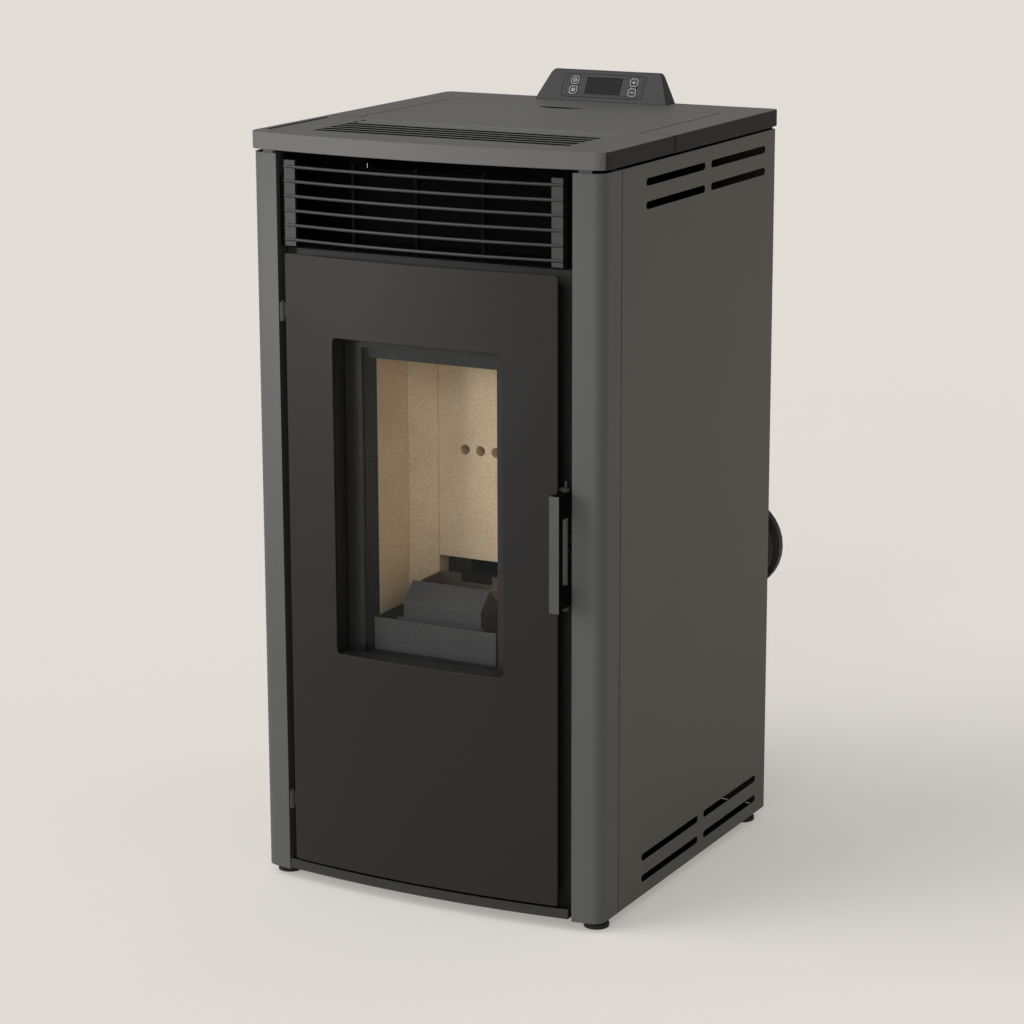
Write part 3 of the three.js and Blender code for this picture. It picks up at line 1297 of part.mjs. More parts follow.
function buildInlet() {
  const face = rearPanelY + gap;
  const about = (centre, half) => [centre - half, centre + half];
  const boreY = [face - inletBoreDepth, face + inletLip + past];
  const socketZ = inletSocket.map((dz) => inletZ + dz);
  const rockerSpan = inletRocker.map((dz) => inletZ + dz);
  const inlet = cut(
    union(
      box(about(inletX, inletFlange[0]), [face, face + inletLip], about(inletZ, inletFlange[1])),
      box(about(inletX, inletBody[0]), [face - inletDepth, face + inletLip / 2],
        about(inletZ, inletBody[1]))),
    box(about(inletX, inletBoreHalf), boreY, socketZ),
    box(about(inletX, inletBoreHalf), boreY, rockerSpan));
  const pins = union(...[-6, 0, 6].map((dx) => box(
    about(inletX + dx, 1), [boreY[0] - past, face - 4], [socketZ[0] + 6, socketZ[1] - 5])));
  place('power_inlet', union(inlet, pins), blackPlastic);

  const [low, high] = about((rockerSpan[0] + rockerSpan[1]) / 2, rockerHalfHeight);
  const middle = (low + high) / 2;
  const rocker = [
    [face - rockerDepth, low], [face + rockerProud, low], [face + gap, middle],
    [face + gap, high], [face - rockerDepth, high]];
  place('rocker_switch', prismX(rocker, about(inletX, inletBoreHalf - gap)), blackPlastic);
}

// ---------------------------------------------------------------- the whole stove

buildBase();
buildSidePanel('left_side_panel', -1);
buildSidePanel('right_side_panel', 1);
buildRearPanel();
buildPillar('left_pillar', -1);
buildPillar('right_pillar', 1);
buildTopFront();
buildTopRear();
buildLid();
buildConsole();
buildGrille();
buildPlenum();
buildTrim();
buildDoor();
buildHandle();
buildFireBox();
buildPot();
buildFeed();
buildHopper();
buildRoomFan();
buildFlueFan();
buildFlue();
buildAir();
buildBoard();
buildInlet();

stove.position.set(0, -(handleFrontY + flueEndY) / 2, footHeight);

export default stove;
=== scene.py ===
# A free-standing pellet stove on a pale studio floor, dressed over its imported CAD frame.
# Metres, X to the right, Y to the back, Z up, as in the frame.

import json
import math

import bmesh
import bpy
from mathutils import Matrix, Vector

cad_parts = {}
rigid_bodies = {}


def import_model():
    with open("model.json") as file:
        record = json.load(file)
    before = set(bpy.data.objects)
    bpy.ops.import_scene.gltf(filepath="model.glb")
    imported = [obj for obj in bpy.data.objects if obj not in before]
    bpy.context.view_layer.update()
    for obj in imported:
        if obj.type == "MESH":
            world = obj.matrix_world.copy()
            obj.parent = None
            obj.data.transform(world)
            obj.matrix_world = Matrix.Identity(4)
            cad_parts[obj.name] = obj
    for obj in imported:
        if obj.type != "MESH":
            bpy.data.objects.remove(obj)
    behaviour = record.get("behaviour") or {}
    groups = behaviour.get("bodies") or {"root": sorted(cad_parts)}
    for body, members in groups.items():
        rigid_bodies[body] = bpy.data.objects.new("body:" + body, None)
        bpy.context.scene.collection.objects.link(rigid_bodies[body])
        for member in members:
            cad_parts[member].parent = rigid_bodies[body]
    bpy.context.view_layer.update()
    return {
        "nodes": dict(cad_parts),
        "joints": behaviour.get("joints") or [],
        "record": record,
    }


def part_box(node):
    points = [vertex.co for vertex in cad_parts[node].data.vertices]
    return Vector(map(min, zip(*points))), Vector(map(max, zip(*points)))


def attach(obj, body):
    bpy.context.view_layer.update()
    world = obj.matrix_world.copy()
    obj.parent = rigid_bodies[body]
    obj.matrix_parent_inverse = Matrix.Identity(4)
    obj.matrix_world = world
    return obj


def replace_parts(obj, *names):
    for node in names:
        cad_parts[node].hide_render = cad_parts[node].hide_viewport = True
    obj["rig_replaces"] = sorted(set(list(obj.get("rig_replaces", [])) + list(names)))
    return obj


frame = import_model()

MM = 0.001
BODY_OF = {node: body for body, nodes in frame["record"]["behaviour"]["bodies"].items() for node in nodes}
SLOT_OF = {part["node"]: part["material_slot"] for part in frame["record"]["subparts"]}


# ---------------------------------------------------------------- materials: small tools

NOISE = "ShaderNodeTexNoise"
# Where the mix node for colours keeps its factor, its two colours and its result.
MIX_FACTOR, MIX_LOW, MIX_HIGH, MIX_RESULT = 0, 6, 7, 2


def linear(colour):
    """sRGB hex to the linear colour a shader takes."""
    channels = [int(colour[i:i + 2], 16) / 255 for i in (1, 3, 5)]
    return [c / 12.92 if c <= 0.04045 else ((c + 0.055) / 1.055) ** 2.4 for c in channels] + [1.0]


def add(tree, kind, settings=None, inputs=None, leads=None):
    """One node: its own properties, its inputs, each a value or another node's output, and where it leads."""
    node = tree.nodes.new(kind)
    for name, value in (settings or {}).items():
        setattr(node, name, value)
    for name, value in (inputs or {}).items():
        if isinstance(value, bpy.types.NodeSocket):
            tree.links.new(value, node.inputs[name])
        else:
            node.inputs[name].default_value = value
    for name, socket in (leads or {}).items():
        tree.links.new(node.outputs[name], socket)
    return node


def per_mm(size):
    """The texture scale at which a pattern repeats about every `size` millimetres."""
    return 1 / (size * MM)


def start(name, **inputs):
    """A new material: its node tree, its main shader and the place on the piece in metres."""
    material = bpy.data.materials.new(name)
    material.use_nodes = True
    tree = material.node_tree
    tree.nodes.clear()
    sockets = {key.replace("_", " "): value for key, value in inputs.items()}
    shader = add(tree, "ShaderNodeBsdfPrincipled", None, sockets)
    add(tree, "ShaderNodeOutputMaterial", None, {"Surface": shader.outputs["BSDF"]})
    place = add(tree, "ShaderNodeTexCoord").outputs["Object"]
    return material, tree, shader, place


def patterned(tree, shader, colour=None, roughness=None, relief=None):
    """Leads patterns into a finish.

    `colour` is a pattern and two hex colours, `roughness` a pattern and two values, and `relief` a pattern
    and its depth in millimetres."""
    if colour:
        pattern, low, high = colour
        add(tree, "ShaderNodeMix", {"data_type": "RGBA"},
            {MIX_FACTOR: pattern, MIX_LOW: linear(low), MIX_HIGH: linear(high)},
            {MIX_RESULT: shader.inputs["Base Color"]})
    if roughness:
        pattern, low, high = roughness
        add(tree, "ShaderNodeMapRange", None, {"Value": pattern, "To Min": low, "To Max": high},
            {"Result": shader.inputs["Roughness"]})
    if relief:
        pattern, depth = relief
        add(tree, "ShaderNodeBump", None, {"Height": pattern, "Distance": depth * MM, "Strength": 1.0},
            {"Normal": shader.inputs["Normal"]})


# ---------------------------------------------------------------- materials: the stove's finishes

def powder_coat(name, low, high, roughness, grain=0.9, depth=0.05, gloss=0.5):
    """Polyester powder coat, sprayed and baked on sheet steel: a fine even grain with a soft sheen."""
    drift_size, spread = 160, 0.05
    material, tree, shader, place = start(name, Metallic=0.0, Specular_IOR_Level=gloss)
    speck = add(tree, NOISE, None, {"Vector": place, "Scale": per_mm(grain), "Detail": 3.0})
    drift = add(tree, NOISE, None, {"Vector": place, "Scale": per_mm(drift_size), "Detail": 2.0})
    patterned(tree, shader,
              colour=(drift.outputs["Fac"], low, high),
              roughness=(drift.outputs["Fac"], roughness - spread, roughness + spread),
              relief=(speck.outputs["Fac"], depth))
    return material


def satin_paint():
    """Smooth heat-proof enamel on the door: near black, with a soft broad reflection and a faint peel."""
    drift_size, peel_size = 220, 2.5
    material, tree, shader, place = start("satin_door_enamel", Specular_IOR_Level=0.3)
    drift = add(tree, NOISE, None, {"Vector": place, "Scale": per_mm(drift_size), "Detail": 2.0})
    peel = add(tree, NOISE, None, {"Vector": place, "Scale": per_mm(peel_size), "Detail": 1.0})
    patterned(tree, shader,
              colour=(drift.outputs["Fac"], "#131211", "#181716"),
              roughness=(drift.outputs["Fac"], 0.42, 0.48),
              relief=(peel.outputs["Fac"], 0.015))
    return material


def vermiculite_board():
    """Pressed vermiculite: tan flakes of 1 to 2 mm, dusty and matt, faintly sooted in clouds."""
    flake_size, dust_size, cloud_size, dust_share = 1.6, 0.9, 60, 0.75
    material, tree, shader, place = start("pressed_vermiculite", Roughness=0.95, Specular_IOR_Level=0.2)
    flakes = add(tree, "ShaderNodeTexVoronoi", None, {"Vector": place, "Scale": per_mm(flake_size)})
    dust = add(tree, NOISE, None, {"Vector": place, "Scale": per_mm(dust_size), "Detail": 4.0})
    cloud = add(tree, NOISE, None, {"Vector": place, "Scale": per_mm(cloud_size), "Detail": 2.0})
    blend = add(tree, "ShaderNodeMath", {"operation": "MULTIPLY_ADD"},
                {0: dust.outputs["Fac"], 1: dust_share, 2: flakes.outputs["Distance"]})
    grain = add(tree, "ShaderNodeMapRange", None,
                {"Value": blend.outputs[0], "From Min": 0.3, "From Max": 1.1}).outputs["Result"]
    clean = add(tree, "ShaderNodeMix", {"data_type": "RGBA"},
                {MIX_FACTOR: grain, MIX_LOW: linear("#C8B08C"), MIX_HIGH: linear("#FBEBD0")})
    add(tree, "ShaderNodeMix", {"data_type": "RGBA", "blend_type": "MULTIPLY"},
        {MIX_FACTOR: cloud.outputs["Fac"], MIX_LOW: clean.outputs[MIX_RESULT], MIX_HIGH: linear("#E2DACD")},
        {MIX_RESULT: shader.inputs["Base Color"]})
    patterned(tree, shader, relief=(blend.outputs[0], 0.12))
    return material


def grey_cast_iron(name, low, high, roughness=0.62):
    """Sand-cast iron under stove paint: a grainy skin of about 1 mm with low swells."""
    skin_size, swell_size, spread = 1.2, 25, 0.08
    material, tree, shader, place = start(name, Metallic=0.25)
    skin = add(tree, NOISE, None, {"Vector": place, "Scale": per_mm(skin_size), "Detail": 5.0})
    swell = add(tree, NOISE, None, {"Vector": place, "Scale": per_mm(swell_size), "Detail": 2.0})
    patterned(tree, shader,
              colour=(swell.outputs["Fac"], low, high),
              roughness=(skin.outputs["Fac"], roughness - spread, roughness + spread),
              relief=(skin.outputs["Fac"], 0.04))
    return material


def sheet_steel(name, low, high, roughness, metallic, stretch):
    """Rolled steel sheet: fine lines along its length and a colour that drifts over it."""
    line_size, drift_size, spread = 1.5, 30, 0.08
    material, tree, shader, place = start(name, Metallic=metallic)
    length = add(tree, "ShaderNodeMapping", None, {"Vector": place, "Scale": stretch})
    lines = add(tree, NOISE, None,
                {"Vector": length.outputs["Vector"], "Scale": per_mm(line_size), "Detail": 3.0})
    drift = add(tree, NOISE, None, {"Vector": place, "Scale": per_mm(drift_size), "Detail": 3.0})
    patterned(tree, shader,
              colour=(drift.outputs["Fac"], low, high),
              roughness=(lines.outputs["Fac"], roughness - spread, roughness + spread),
              relief=(lines.outputs["Fac"], 0.02))
    return material


def ceramic_glass():
    """Clear glass ceramic: almost all light passes, with a faint grey tint and a sharp reflection."""
    smear_size = 45
    material, tree, shader, place = start(
        "clear_glass_ceramic", Base_Color=linear("#16181A"), Alpha=0.14, IOR=1.53)
    smear = add(tree, NOISE, None, {"Vector": place, "Scale": per_mm(smear_size), "Detail": 3.0})
    patterned(tree, shader, roughness=(smear.outputs["Fac"], 0.02, 0.07))
    return material


def moulded(name, low, high, roughness, grain=0.6, depth=0.02, gloss=0.45):
    """Injection-moulded plastic or rubber: a spark-eroded grain under a low sheen."""
    spread = 0.04
    material, tree, shader, place = start(name, Specular_IOR_Level=gloss)
    grains = add(tree, NOISE, None, {"Vector": place, "Scale": per_mm(grain), "Detail": 2.0})
    patterned(tree, shader,
              colour=(grains.outputs["Fac"], low, high),
              roughness=(grains.outputs["Fac"], roughness - spread, roughness + spread),
              relief=(grains.outputs["Fac"], depth))
    return material


def glass_rope():
    """Knitted glass-fibre rope: slanting yarns, matt and charcoal."""
    yarn_size = 6
    material, tree, shader, place = start("knitted_glass_rope", Roughness=0.95, Sheen_Weight=0.3)
    yarns = add(tree, "ShaderNodeTexWave", {"bands_direction": "DIAGONAL"},
                {"Vector": place, "Scale": per_mm(yarn_size), "Distortion": 1.5, "Detail": 2.0})
    patterned(tree, shader,
              colour=(yarns.outputs["Fac"], "#24231F", "#4A4942"),
              relief=(yarns.outputs["Fac"], 0.5))
    return material


def circuit_board():
    """Glass-epoxy circuit board under green solder resist, with a faint weave."""
    weave_size = 1.5
    material, tree, shader, place = start("green_circuit_board", Roughness=0.4)
    weave = add(tree, "ShaderNodeTexChecker", None, {"Vector": place, "Scale": per_mm(weave_size)})
    patterned(tree, shader,
              colour=(weave.outputs["Fac"], "#1C5434", "#20603C"),
              relief=(weave.outputs["Fac"], 0.02))
    return material


FINISHES = {
    "cabinet_paint": powder_coat("warm_grey_powder_coat", "#4C4944", "#54514C", 0.55),
    "pillar_paint": powder_coat("mid_grey_powder_coat", "#484949", "#505151", 0.55),
    "top_paint": powder_coat("top_grey_powder_coat", "#585857", "#60605F", 0.52, gloss=0.4),
    "door_paint": satin_paint(),
    "black_paint": powder_coat("black_stove_paint", "#161616", "#1D1D1D", 0.6, grain=1.1, depth=0.06),
    "glass": ceramic_glass(),
    "vermiculite": vermiculite_board(),
    "cast_iron": grey_cast_iron("slate_cast_iron", "#424343", "#4C4D4D"),
    "tinted_steel": sheet_steel("heat_tinted_steel", "#6E665C", "#8C8274", 0.42, 0.6, (1, 1, 0.08)),
    "zinc_steel": sheet_steel("zinc_plated_steel", "#8E9092", "#A3A5A6", 0.42, 0.85, (0.1, 1, 1)),
    "rubber": moulded("moulded_rubber", "#121212", "#191919", 0.8, grain=1.0, depth=0.04),
    "black_plastic": moulded("moulded_black_abs", "#191A1C", "#202124", 0.5),
    "display": moulded("smoked_display_window", "#0B0C0E", "#0F1012", 0.4, grain=2.0, depth=0.0, gloss=0.15),
    "rope": glass_rope(),
    "board": circuit_board(),
}
PRINT = moulded("light_grey_print", "#C4C4C2", "#CCCCCA", 0.6)
GRILLE = grey_cast_iron("black_grille_paint", "#262727", "#303131", 0.42)
# Painted shade: a darker grey for the top's flat ends, which stand sideways to the light.
PAINTED_END_SHADE = powder_coat(
    "painted_shade_on_ends", "#252524", "#2B2B2A", 0.75, grain=1.1, depth=0.04, gloss=0.3)
# Painted shade: a flat near-black for gaps, slots, the handle's sides and what lies behind the grille and the
# top.
PAINTED_BLACK_SHADE = powder_coat("painted_black_shade", "#060606", "#0A0A0A", 0.95, grain=1.1, depth=0.04, gloss=0.05)
SCREW_STEEL = sheet_steel("blackened_screw_steel", "#2A2A2B", "#38383A", 0.4, 0.7, (1, 1, 1))


# ---------------------------------------------------------------- pieces: small tools

# What a face wears: the piece's own finish, painted shade on an end, or a flat near-black that paints the
# shade of a gap, slot or hidden side.
PLAIN, END_SHADE, BLACK_SHADE = 0, 1, 2
WELD = 0.002 * MM
FLAT = math.radians(0.3)
SHARP = math.radians(30)


def piece(name, mesh, body, slot, *materials):
    """A finished piece that rides on a body. A face takes the material its index stands for."""
    shown = bpy.data.objects.new(name, mesh)
    bpy.context.scene.collection.objects.link(shown)
    shares = [polygon.material_index for polygon in mesh.polygons]
    mesh.materials.clear()
    for material in materials:
        mesh.materials.append(material)
    mesh.polygons.foreach_set("material_index", shares)
    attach(shown, body)
    return shown


def meshed(work, name):
    """The faces built so far as a mesh, all of them looking outwards."""
    bmesh.ops.recalc_face_normals(work, faces=work.faces)
    mesh = bpy.data.meshes.new(name)
    work.to_mesh(mesh)
    work.free()
    return mesh


def refined(node, edge=0.0, segments=2, material=None, wear=None):
    """The CAD node again with its flat faces whole, its edges rounded by `edge` mm and its curves smooth.

    `wear` tells by a face's middle and normal whether it wears its finish or painted shade. Without it every
    face is plain."""
    mesh = frame["nodes"][node].data.copy()
    work = bmesh.new()
    work.from_mesh(mesh)
    bmesh.ops.remove_doubles(work, verts=work.verts, dist=WELD)
    bmesh.ops.dissolve_limit(work, angle_limit=FLAT, verts=work.verts, edges=work.edges)
    for face in work.faces:
        face.smooth = True
        face.material_index = wear(face.calc_center_median(), face.normal) if wear else PLAIN
    work.to_mesh(mesh)
    work.free()
    mesh.set_sharp_from_angle(angle=SHARP)
    finish = material or FINISHES[SLOT_OF[node]]
    # The painted shade for ends and the painted black shade for gaps follow the finish.
    dark = (PAINTED_END_SHADE, PAINTED_BLACK_SHADE) if wear else ()
    shown = piece(node + "_finished", mesh, BODY_OF[node], SLOT_OF[node], finish, *dark)
    if edge:
        bevel = shown.modifiers.new("rounded edges", "BEVEL")
        bevel.width = edge * MM
        bevel.segments = segments
        bevel.limit_method = "ANGLE"
        bevel.angle_limit = SHARP
        bevel.use_clamp_overlap = True
        bevel.harden_normals = True
    even = shown.modifiers.new("even shading", "WEIGHTED_NORMAL")
    even.keep_sharp = True
    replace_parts(shown, node)


def in_place(node):
    """Keeps a CAD node as it is, in its finish, with its round faces smooth."""
    shown = frame["nodes"][node]
    shown.data.materials.clear()
    shown.data.materials.append(FINISHES[SLOT_OF[node]])
    for polygon in shown.data.polygons:
        polygon.use_smooth = True
    shown.data.set_sharp_from_angle(angle=SHARP)


def walls(work, rings):
    """Faces between each ring of points and the next."""
    for ring, following in zip(rings, rings[1:]):
        for k in range(len(ring)):
            j = (k + 1) % len(ring)
            work.faces.new([ring[k], ring[j], following[j], following[k]])


def ribbon(work, points, width, to_space, closed=False):
    """A flat line through points, just above a face."""
    count = len(points)
    rows = []
    for i, here in enumerate(points):
        before = points[(i - 1) % count] if closed or i else here
        after = points[(i + 1) % count] if closed or i < count - 1 else here
        along = (Vector(after) - Vector(before)).normalized()
        side = Vector((-along.y, along.x)) * width / 2
        rows.append([work.verts.new(to_space(Vector(here) + way * side)) for way in (1, -1)])
    for i in range(count if closed else count - 1):
        a, b = rows[i], rows[(i + 1) % count]
        work.faces.new([a[0], a[1], b[1], b[0]])


def arc(centre, radius, first, last, steps):
    """Points on a circle between two angles in degrees."""
    angles = [math.radians(first + (last - first) * i / steps) for i in range(steps + 1)]
    return [(centre[0] + radius * math.cos(a), centre[1] + radius * math.sin(a)) for a in angles]


def rounded(half_x, half_y, radius, steps=4):
    """Points round a rectangle with rounded corners."""
    corners = [(1, -1, 270), (1, 1, 0), (-1, 1, 90), (-1, -1, 180)]
    points = []
    for x, y, angle in corners:
        centre = (x * (half_x - radius), y * (half_y - radius))
        points += arc(centre, radius, angle, angle + 90, steps)
    return points


# ---------------------------------------------------------------- where the faces wear painted shade

# A face looks along an axis when its normal's share on it is above ALONG, and away from it below ASIDE.
ALONG = 0.9
SQUARE = 0.99
ASIDE = 0.5


def slots_and_ends(node, margin, seam=0):
    """Painted black shade in a node's gaps and painted shade on its flat ends.

    Its gaps are the upright faces more than `margin` mm inside its outline, and its edge on the seam, which
    looks backwards (1) or forwards (-1)."""
    low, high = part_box(node)
    reach = margin * MM

    def wear(middle, normal):
        deep = low.x + reach < middle.x < high.x - reach and low.y + reach < middle.y < high.y - reach
        if abs(normal.z) < ASIDE and deep or seam * normal.y > ALONG:
            return BLACK_SHADE
        return END_SHADE if abs(normal.x) > ALONG else PLAIN

    return wear


def through_side(middle, normal):
    """Painted black shade on the walls of a side panel's slots, which look up, down, forwards or backwards.
    """
    slot_reach, above_bottom_edge = 0.205, 0.02
    in_slot = abs(normal.x) < ASIDE and abs(middle.y) < slot_reach and middle.z > above_bottom_edge
    return BLACK_SHADE if in_slot else PLAIN


def outer_skin(node):
    """Painted black shade on a node's upright faces that look away from its middle."""
    low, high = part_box(node)
    centre = (low + high) / 2

    def wear(middle, normal):
        return BLACK_SHADE if abs(normal.z) < ALONG and normal.dot(middle - centre) > 0 else PLAIN

    return wear


def behind_bars(middle, normal):
    """Painted black shade on the flat faces of the grille's ribs, between its end plates. Its round bars stay
    plain.
    """
    inside_end_plates = 0.15
    flat = abs(normal.x) > SQUARE or abs(normal.y) > SQUARE
    return BLACK_SHADE if abs(middle.x) < inside_end_plates and flat else PLAIN


def behind_front(_, normal):
    """Painted black shade on the faces that don't look forwards: the handle's sides, arms and back."""
    return BLACK_SHADE if normal.y > -ASIDE else PLAIN


# ---------------------------------------------------------------- the stove

def dress_cabinet():
    for node in ("left_side_panel", "right_side_panel"):
        refined(node, 0.5, wear=through_side)
    for node in ("left_pillar", "right_pillar"):
        refined(node, 0.6)
    refined("rear_panel")
    # The top's slots, seam and lid edges wear painted black shade, and its flat ends painted shade.
    refined("top_front_cover", 0.7, wear=slots_and_ends("top_front_cover", margin=50, seam=1))
    refined("top_rear_frame", 0.7, wear=slots_and_ends("top_rear_frame", margin=20, seam=-1))
    refined("hopper_lid", 0.6, wear=slots_and_ends("hopper_lid", margin=-1))
    refined("bottom_trim", 0.7)
    for corner in ("front_left", "front_right", "rear_left", "rear_right"):
        refined("foot_" + corner, 0.5)


def dress_front():
    refined("door_panel", 0.7)
    refined("door_frame")
    refined("door_handle", 1.6, segments=3, wear=behind_front)
    refined("air_grille", material=GRILLE, wear=behind_bars)
    # The whole outlet box wears the painted black shade, so its inside reads dark behind the grille.
    refined("air_outlet_box", material=PAINTED_BLACK_SHADE)
    # The hopper's outer walls, seen through the top's slots, wear painted black shade.
    refined("pellet_hopper", wear=outer_skin("pellet_hopper"))
    refined("pellet_chute", material=SCREW_STEEL)
    refined("firebox_front", 0.4)


def dress_fire():
    for node in ("back_brick", "left_brick", "right_brick", "left_corner_brick", "right_corner_brick"):
        refined(node, 1.3)
    refined("burn_pot", 0.6)
    refined("pot_liner")
    refined("ash_pan", 0.5)


def dress_panel():
    refined("control_housing", 0.7)
    refined("control_bezel")
    refined("display_window", 0.3)
    for number in range(1, 5):
        refined(f"button_{number}", 0.2)


def door_seal():
    """The knitted rope behind the door: a squashed round section laid round the window."""
    low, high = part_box("door_gasket")
    centre = (low + high) / 2
    half_width = 5 * MM
    half_depth = (high.y - low.y) / 2
    corner_radius, corner_steps, sides = 11 * MM, 6, 12
    half_x = (high.x - low.x) / 2 - half_width
    half_z = (high.z - low.z) / 2 - half_width
    route = rounded(half_x, half_z, corner_radius, corner_steps)
    work = bmesh.new()
    rings = []
    for i, (x, z) in enumerate(route):
        before, after = Vector(route[i - 1]), Vector(route[(i + 1) % len(route)])
        along = (after - before).normalized()
        outward = Vector((along.y, -along.x))
        ring = []
        for k in range(sides):
            turn = 2 * math.pi * k / sides
            out = half_width * math.cos(turn)
            ring.append(work.verts.new((
                centre.x + x + outward.x * out,
                centre.y + half_depth * math.sin(turn),
                centre.z + z + outward.y * out)))
        rings.append(ring)
    walls(work, rings + rings[:1])
    for face in work.faces:
        face.smooth = True
    rope = piece("door_rope_seal", meshed(work, "door_rope_seal"), "door", "rope", FINISHES["rope"])
    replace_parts(rope, "door_gasket")


def panel_signs():
    """Printed outlines and plain symbols on the four buttons, in millimetres from each button's middle."""
    outline_half, outline_radius, outline_width = 5.3, 2.4, 0.5
    sign_width, lift = 0.7, 0.46
    reach, row = 2.4, 1.6
    press = Vector(next(j["axis"] for j in frame["joints"] if j["name"] == "button_1_press"))
    out = -press.normalized()
    up = Vector((1, 0, 0)).cross(-out).normalized()

    def bar(height):
        return [(-reach, height), (reach, height)]

    signs = {
        1: [[(0, 0.4), (0, 2.8)], arc((0, 0), 2.2, 120, 420, 14)],
        2: [bar(0), [(0, -reach), (0, reach)]],
        3: [bar(row), bar(0), bar(-row)],
        4: [bar(0)],
    }
    for number, lines in signs.items():
        low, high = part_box(f"button_{number}")
        face = (low + high) / 2 + out * lift * MM

        def to_space(point):
            return face + Vector((point.x * MM, 0, 0)) + up * point.y * MM

        work = bmesh.new()
        ribbon(work, rounded(outline_half, outline_half, outline_radius), outline_width, to_space, True)
        for points in lines:
            ribbon(work, points, sign_width, to_space)
        name = f"button_{number}_print"
        piece(name, meshed(work, name), f"button_{number}", "black_plastic", PRINT)


def rear_screws():
    """Pan-head screws with a round recess along the rear panel's upright edges."""
    low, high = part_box("rear_panel")
    inset, radius, height = 9 * MM, 3.4 * MM, 2 * MM
    recess_radius, recess_floor = radius * 0.3, height * 0.4
    profile = [(radius, 0.0), (radius, height * 0.45), (radius * 0.72, height * 0.88),
               (recess_radius, height), (recess_radius, recess_floor)]
    spaces, sides = 4, 20
    work = bmesh.new()
    for x in (low.x + inset, high.x - inset):
        for step in range(spaces + 1):
            z = low.z + inset + (high.z - low.z - 2 * inset) * step / spaces
            rings = []
            for r, out in profile:
                turns = [2 * math.pi * k / sides for k in range(sides)]
                rings.append([work.verts.new((x + r * math.cos(a), high.y + out, z + r * math.sin(a)))
                              for a in turns])
            walls(work, rings)
            work.faces.new(rings[-1])
    mesh = meshed(work, "rear_panel_screws")
    piece("rear_panel_screws", mesh, "cabinet", "zinc_steel", SCREW_STEEL)


# ---------------------------------------------------------------- studio

FLOOR_HALF = 40.0
PAPER_GLOW = 0.40
AIR_STRENGTH = 0.4
LAMP_DISTANCE = 4
CAMERA_PLACE = (1.8242, -3.4961, 1.4094)
CAMERA_PITCH = 76.2463
CAMERA_ROLL = 0.1617
CAMERA_YAW = 27.8968
CAMERA_LENS = 109.77
CAMERA_SENSOR = 36


def seen_or_mirrored(tree):
    """1 for what the camera sees directly, in a mirror or through glass, 0 for light that lands on things."""
    path = add(tree, "ShaderNodeLightPath")
    mirrored = add(tree, "ShaderNodeMath", {"operation": "MAXIMUM"},
                   {0: path.outputs["Is Camera Ray"], 1: path.outputs["Is Glossy Ray"]})
    return add(tree, "ShaderNodeMath", {"operation": "MAXIMUM"},
               {0: mirrored.outputs[0], 1: path.outputs["Is Transmission Ray"]}).outputs[0]


def studio_floor():
    """A wide sheet of pale paper. It shows the backdrop's colour by itself and keeps the stove's shadow."""
    cloud_size = 900
    corners = [(x * FLOOR_HALF, y * FLOOR_HALF, 0) for x, y in ((-1, -1), (1, -1), (1, 1), (-1, 1))]
    mesh = bpy.data.meshes.new("studio_floor")
    mesh.from_pydata(corners, [], [(0, 1, 2, 3)])
    material, tree, shader, place = start(
        "pale_studio_paper", Roughness=0.9, Specular_IOR_Level=0.1, Emission_Color=linear("#DEDBD6"))
    cloud = add(tree, NOISE, None, {"Vector": place, "Scale": per_mm(cloud_size), "Detail": 1.0})
    patterned(tree, shader, colour=(cloud.outputs["Fac"], "#CFCBC5", "#D3CFC9"))
    add(tree, "ShaderNodeMath", {"operation": "MULTIPLY"}, {0: seen_or_mirrored(tree), 1: PAPER_GLOW},
        {0: shader.inputs["Emission Strength"]})
    mesh.materials.append(material)
    floor = bpy.data.objects.new("studio_floor", mesh)
    bpy.context.scene.collection.objects.link(floor)


def aimed(name, lamp, place, target):
    """Hangs a lamp at a place and turns it to a target."""
    holder = bpy.data.objects.new(name, lamp)
    holder.location = place
    holder.rotation_euler = (Vector(target) - Vector(place)).to_track_quat("-Z", "Y").to_euler()
    bpy.context.scene.collection.objects.link(holder)
    return holder


def distant_lamp(name, azimuth, elevation, spread, strength):
    """A far softbox: 0 degrees of azimuth is in front of the stove, positive to its right."""
    lamp = bpy.data.lights.new(name, "SUN")
    lamp.energy = strength
    lamp.angle = math.radians(spread)
    turn, lift = math.radians(azimuth), math.radians(elevation)
    source = Vector((math.sin(turn) * math.cos(lift), -math.cos(turn) * math.cos(lift), math.sin(lift)))
    aimed(name, lamp, source * LAMP_DISTANCE, (0, 0, 0))


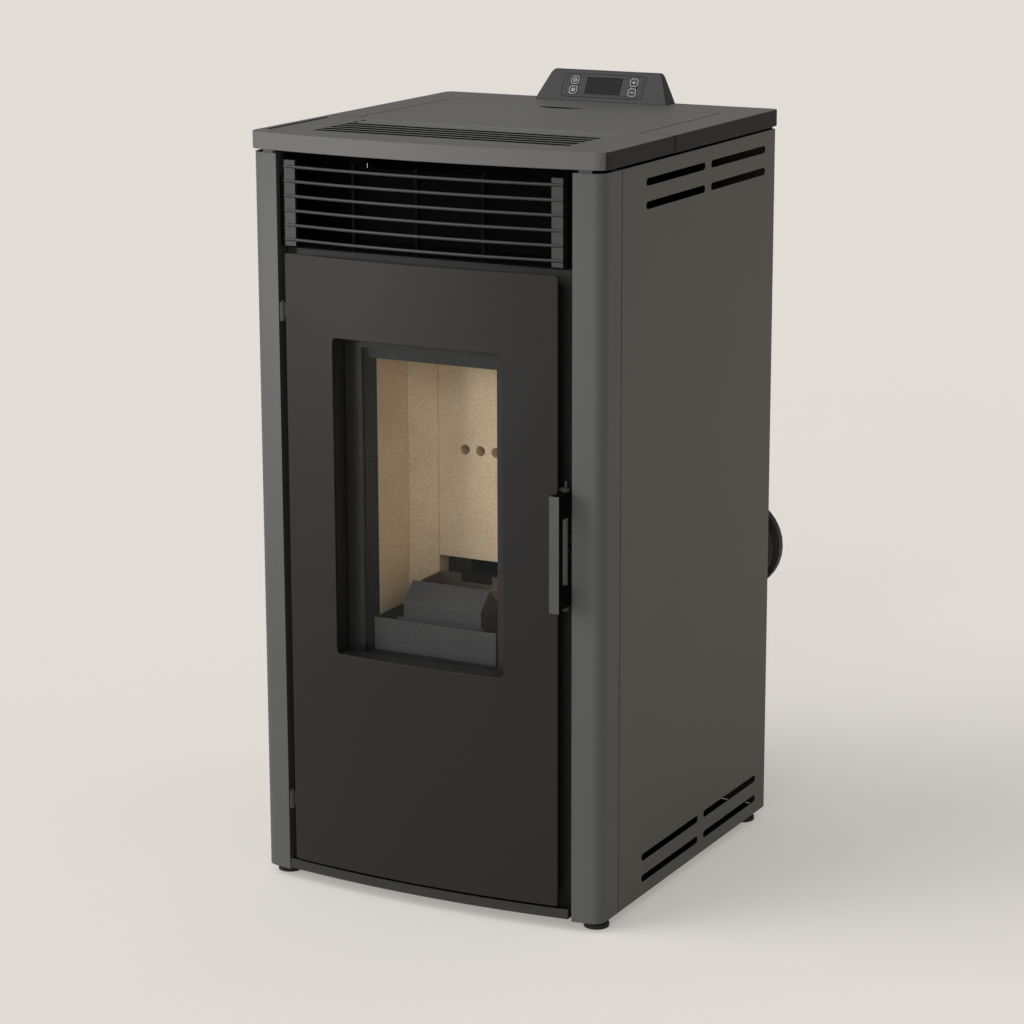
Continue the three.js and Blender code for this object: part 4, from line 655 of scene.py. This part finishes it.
def door_spot():
    """A soft spot on the door's upper left."""
    lamp = bpy.data.lights.new("door_spot", "SPOT")
    lamp.energy = 150
    lamp.spot_size = math.radians(15)
    lamp.spot_blend = 1.0
    lamp.shadow_soft_size = 0.25
    aimed("door_spot", lamp, (-1.5, -2.6, 1.2), (-0.13, -0.28, 0.74)).visible_camera = False


def fire_box_strip():
    """A small upright lamp in the right of the fire box, which lights its bricks. It isn't seen itself."""
    low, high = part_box("back_brick")
    right, forward, up = 0.09, 0.09, 0.35
    height = low.z * (1 - up) + high.z * up
    lamp = bpy.data.lights.new("fire_box_strip", "AREA")
    lamp.energy = 0.04
    lamp.shape = "RECTANGLE"
    lamp.size = 0.04
    lamp.size_y = 0.16
    holder = aimed("fire_box_strip", lamp, (right, low.y - forward, height), (0.0, low.y, height))
    holder.visible_camera = False


def studio_light():
    world = bpy.data.worlds.new("studio_air")
    world.use_nodes = True
    background = world.node_tree.nodes["Background"]
    background.inputs["Color"].default_value = linear("#F4F2EF")
    background.inputs["Strength"].default_value = AIR_STRENGTH
    bpy.context.scene.world = world
    distant_lamp("key", azimuth=-50, elevation=42, spread=50, strength=1.25)
    distant_lamp("front_fill", azimuth=8, elevation=14, spread=40, strength=0.85)
    distant_lamp("low_left_strip", azimuth=-46, elevation=9, spread=24, strength=0.7)
    door_spot()
    fire_box_strip()


def camera():
    eye = bpy.data.cameras.new("photo_view")
    eye.sensor_width = CAMERA_SENSOR
    eye.lens = CAMERA_LENS
    holder = bpy.data.objects.new("photo_view", eye)
    holder.location = CAMERA_PLACE
    holder.rotation_euler = [math.radians(angle) for angle in (CAMERA_PITCH, CAMERA_ROLL, CAMERA_YAW)]
    bpy.context.scene.collection.objects.link(holder)
    bpy.context.scene.camera = holder


# ---------------------------------------------------------------- put together

bpy.context.scene.view_settings.view_transform = "Standard"
camera()
dress_cabinet()
dress_front()
dress_fire()
dress_panel()
door_seal()
panel_signs()
rear_screws()
hidden = {name for shown in bpy.data.objects for name in shown.get("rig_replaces", [])}
for node in frame["nodes"]:
    if node not in hidden:
        in_place(node)
studio_floor()
studio_light()
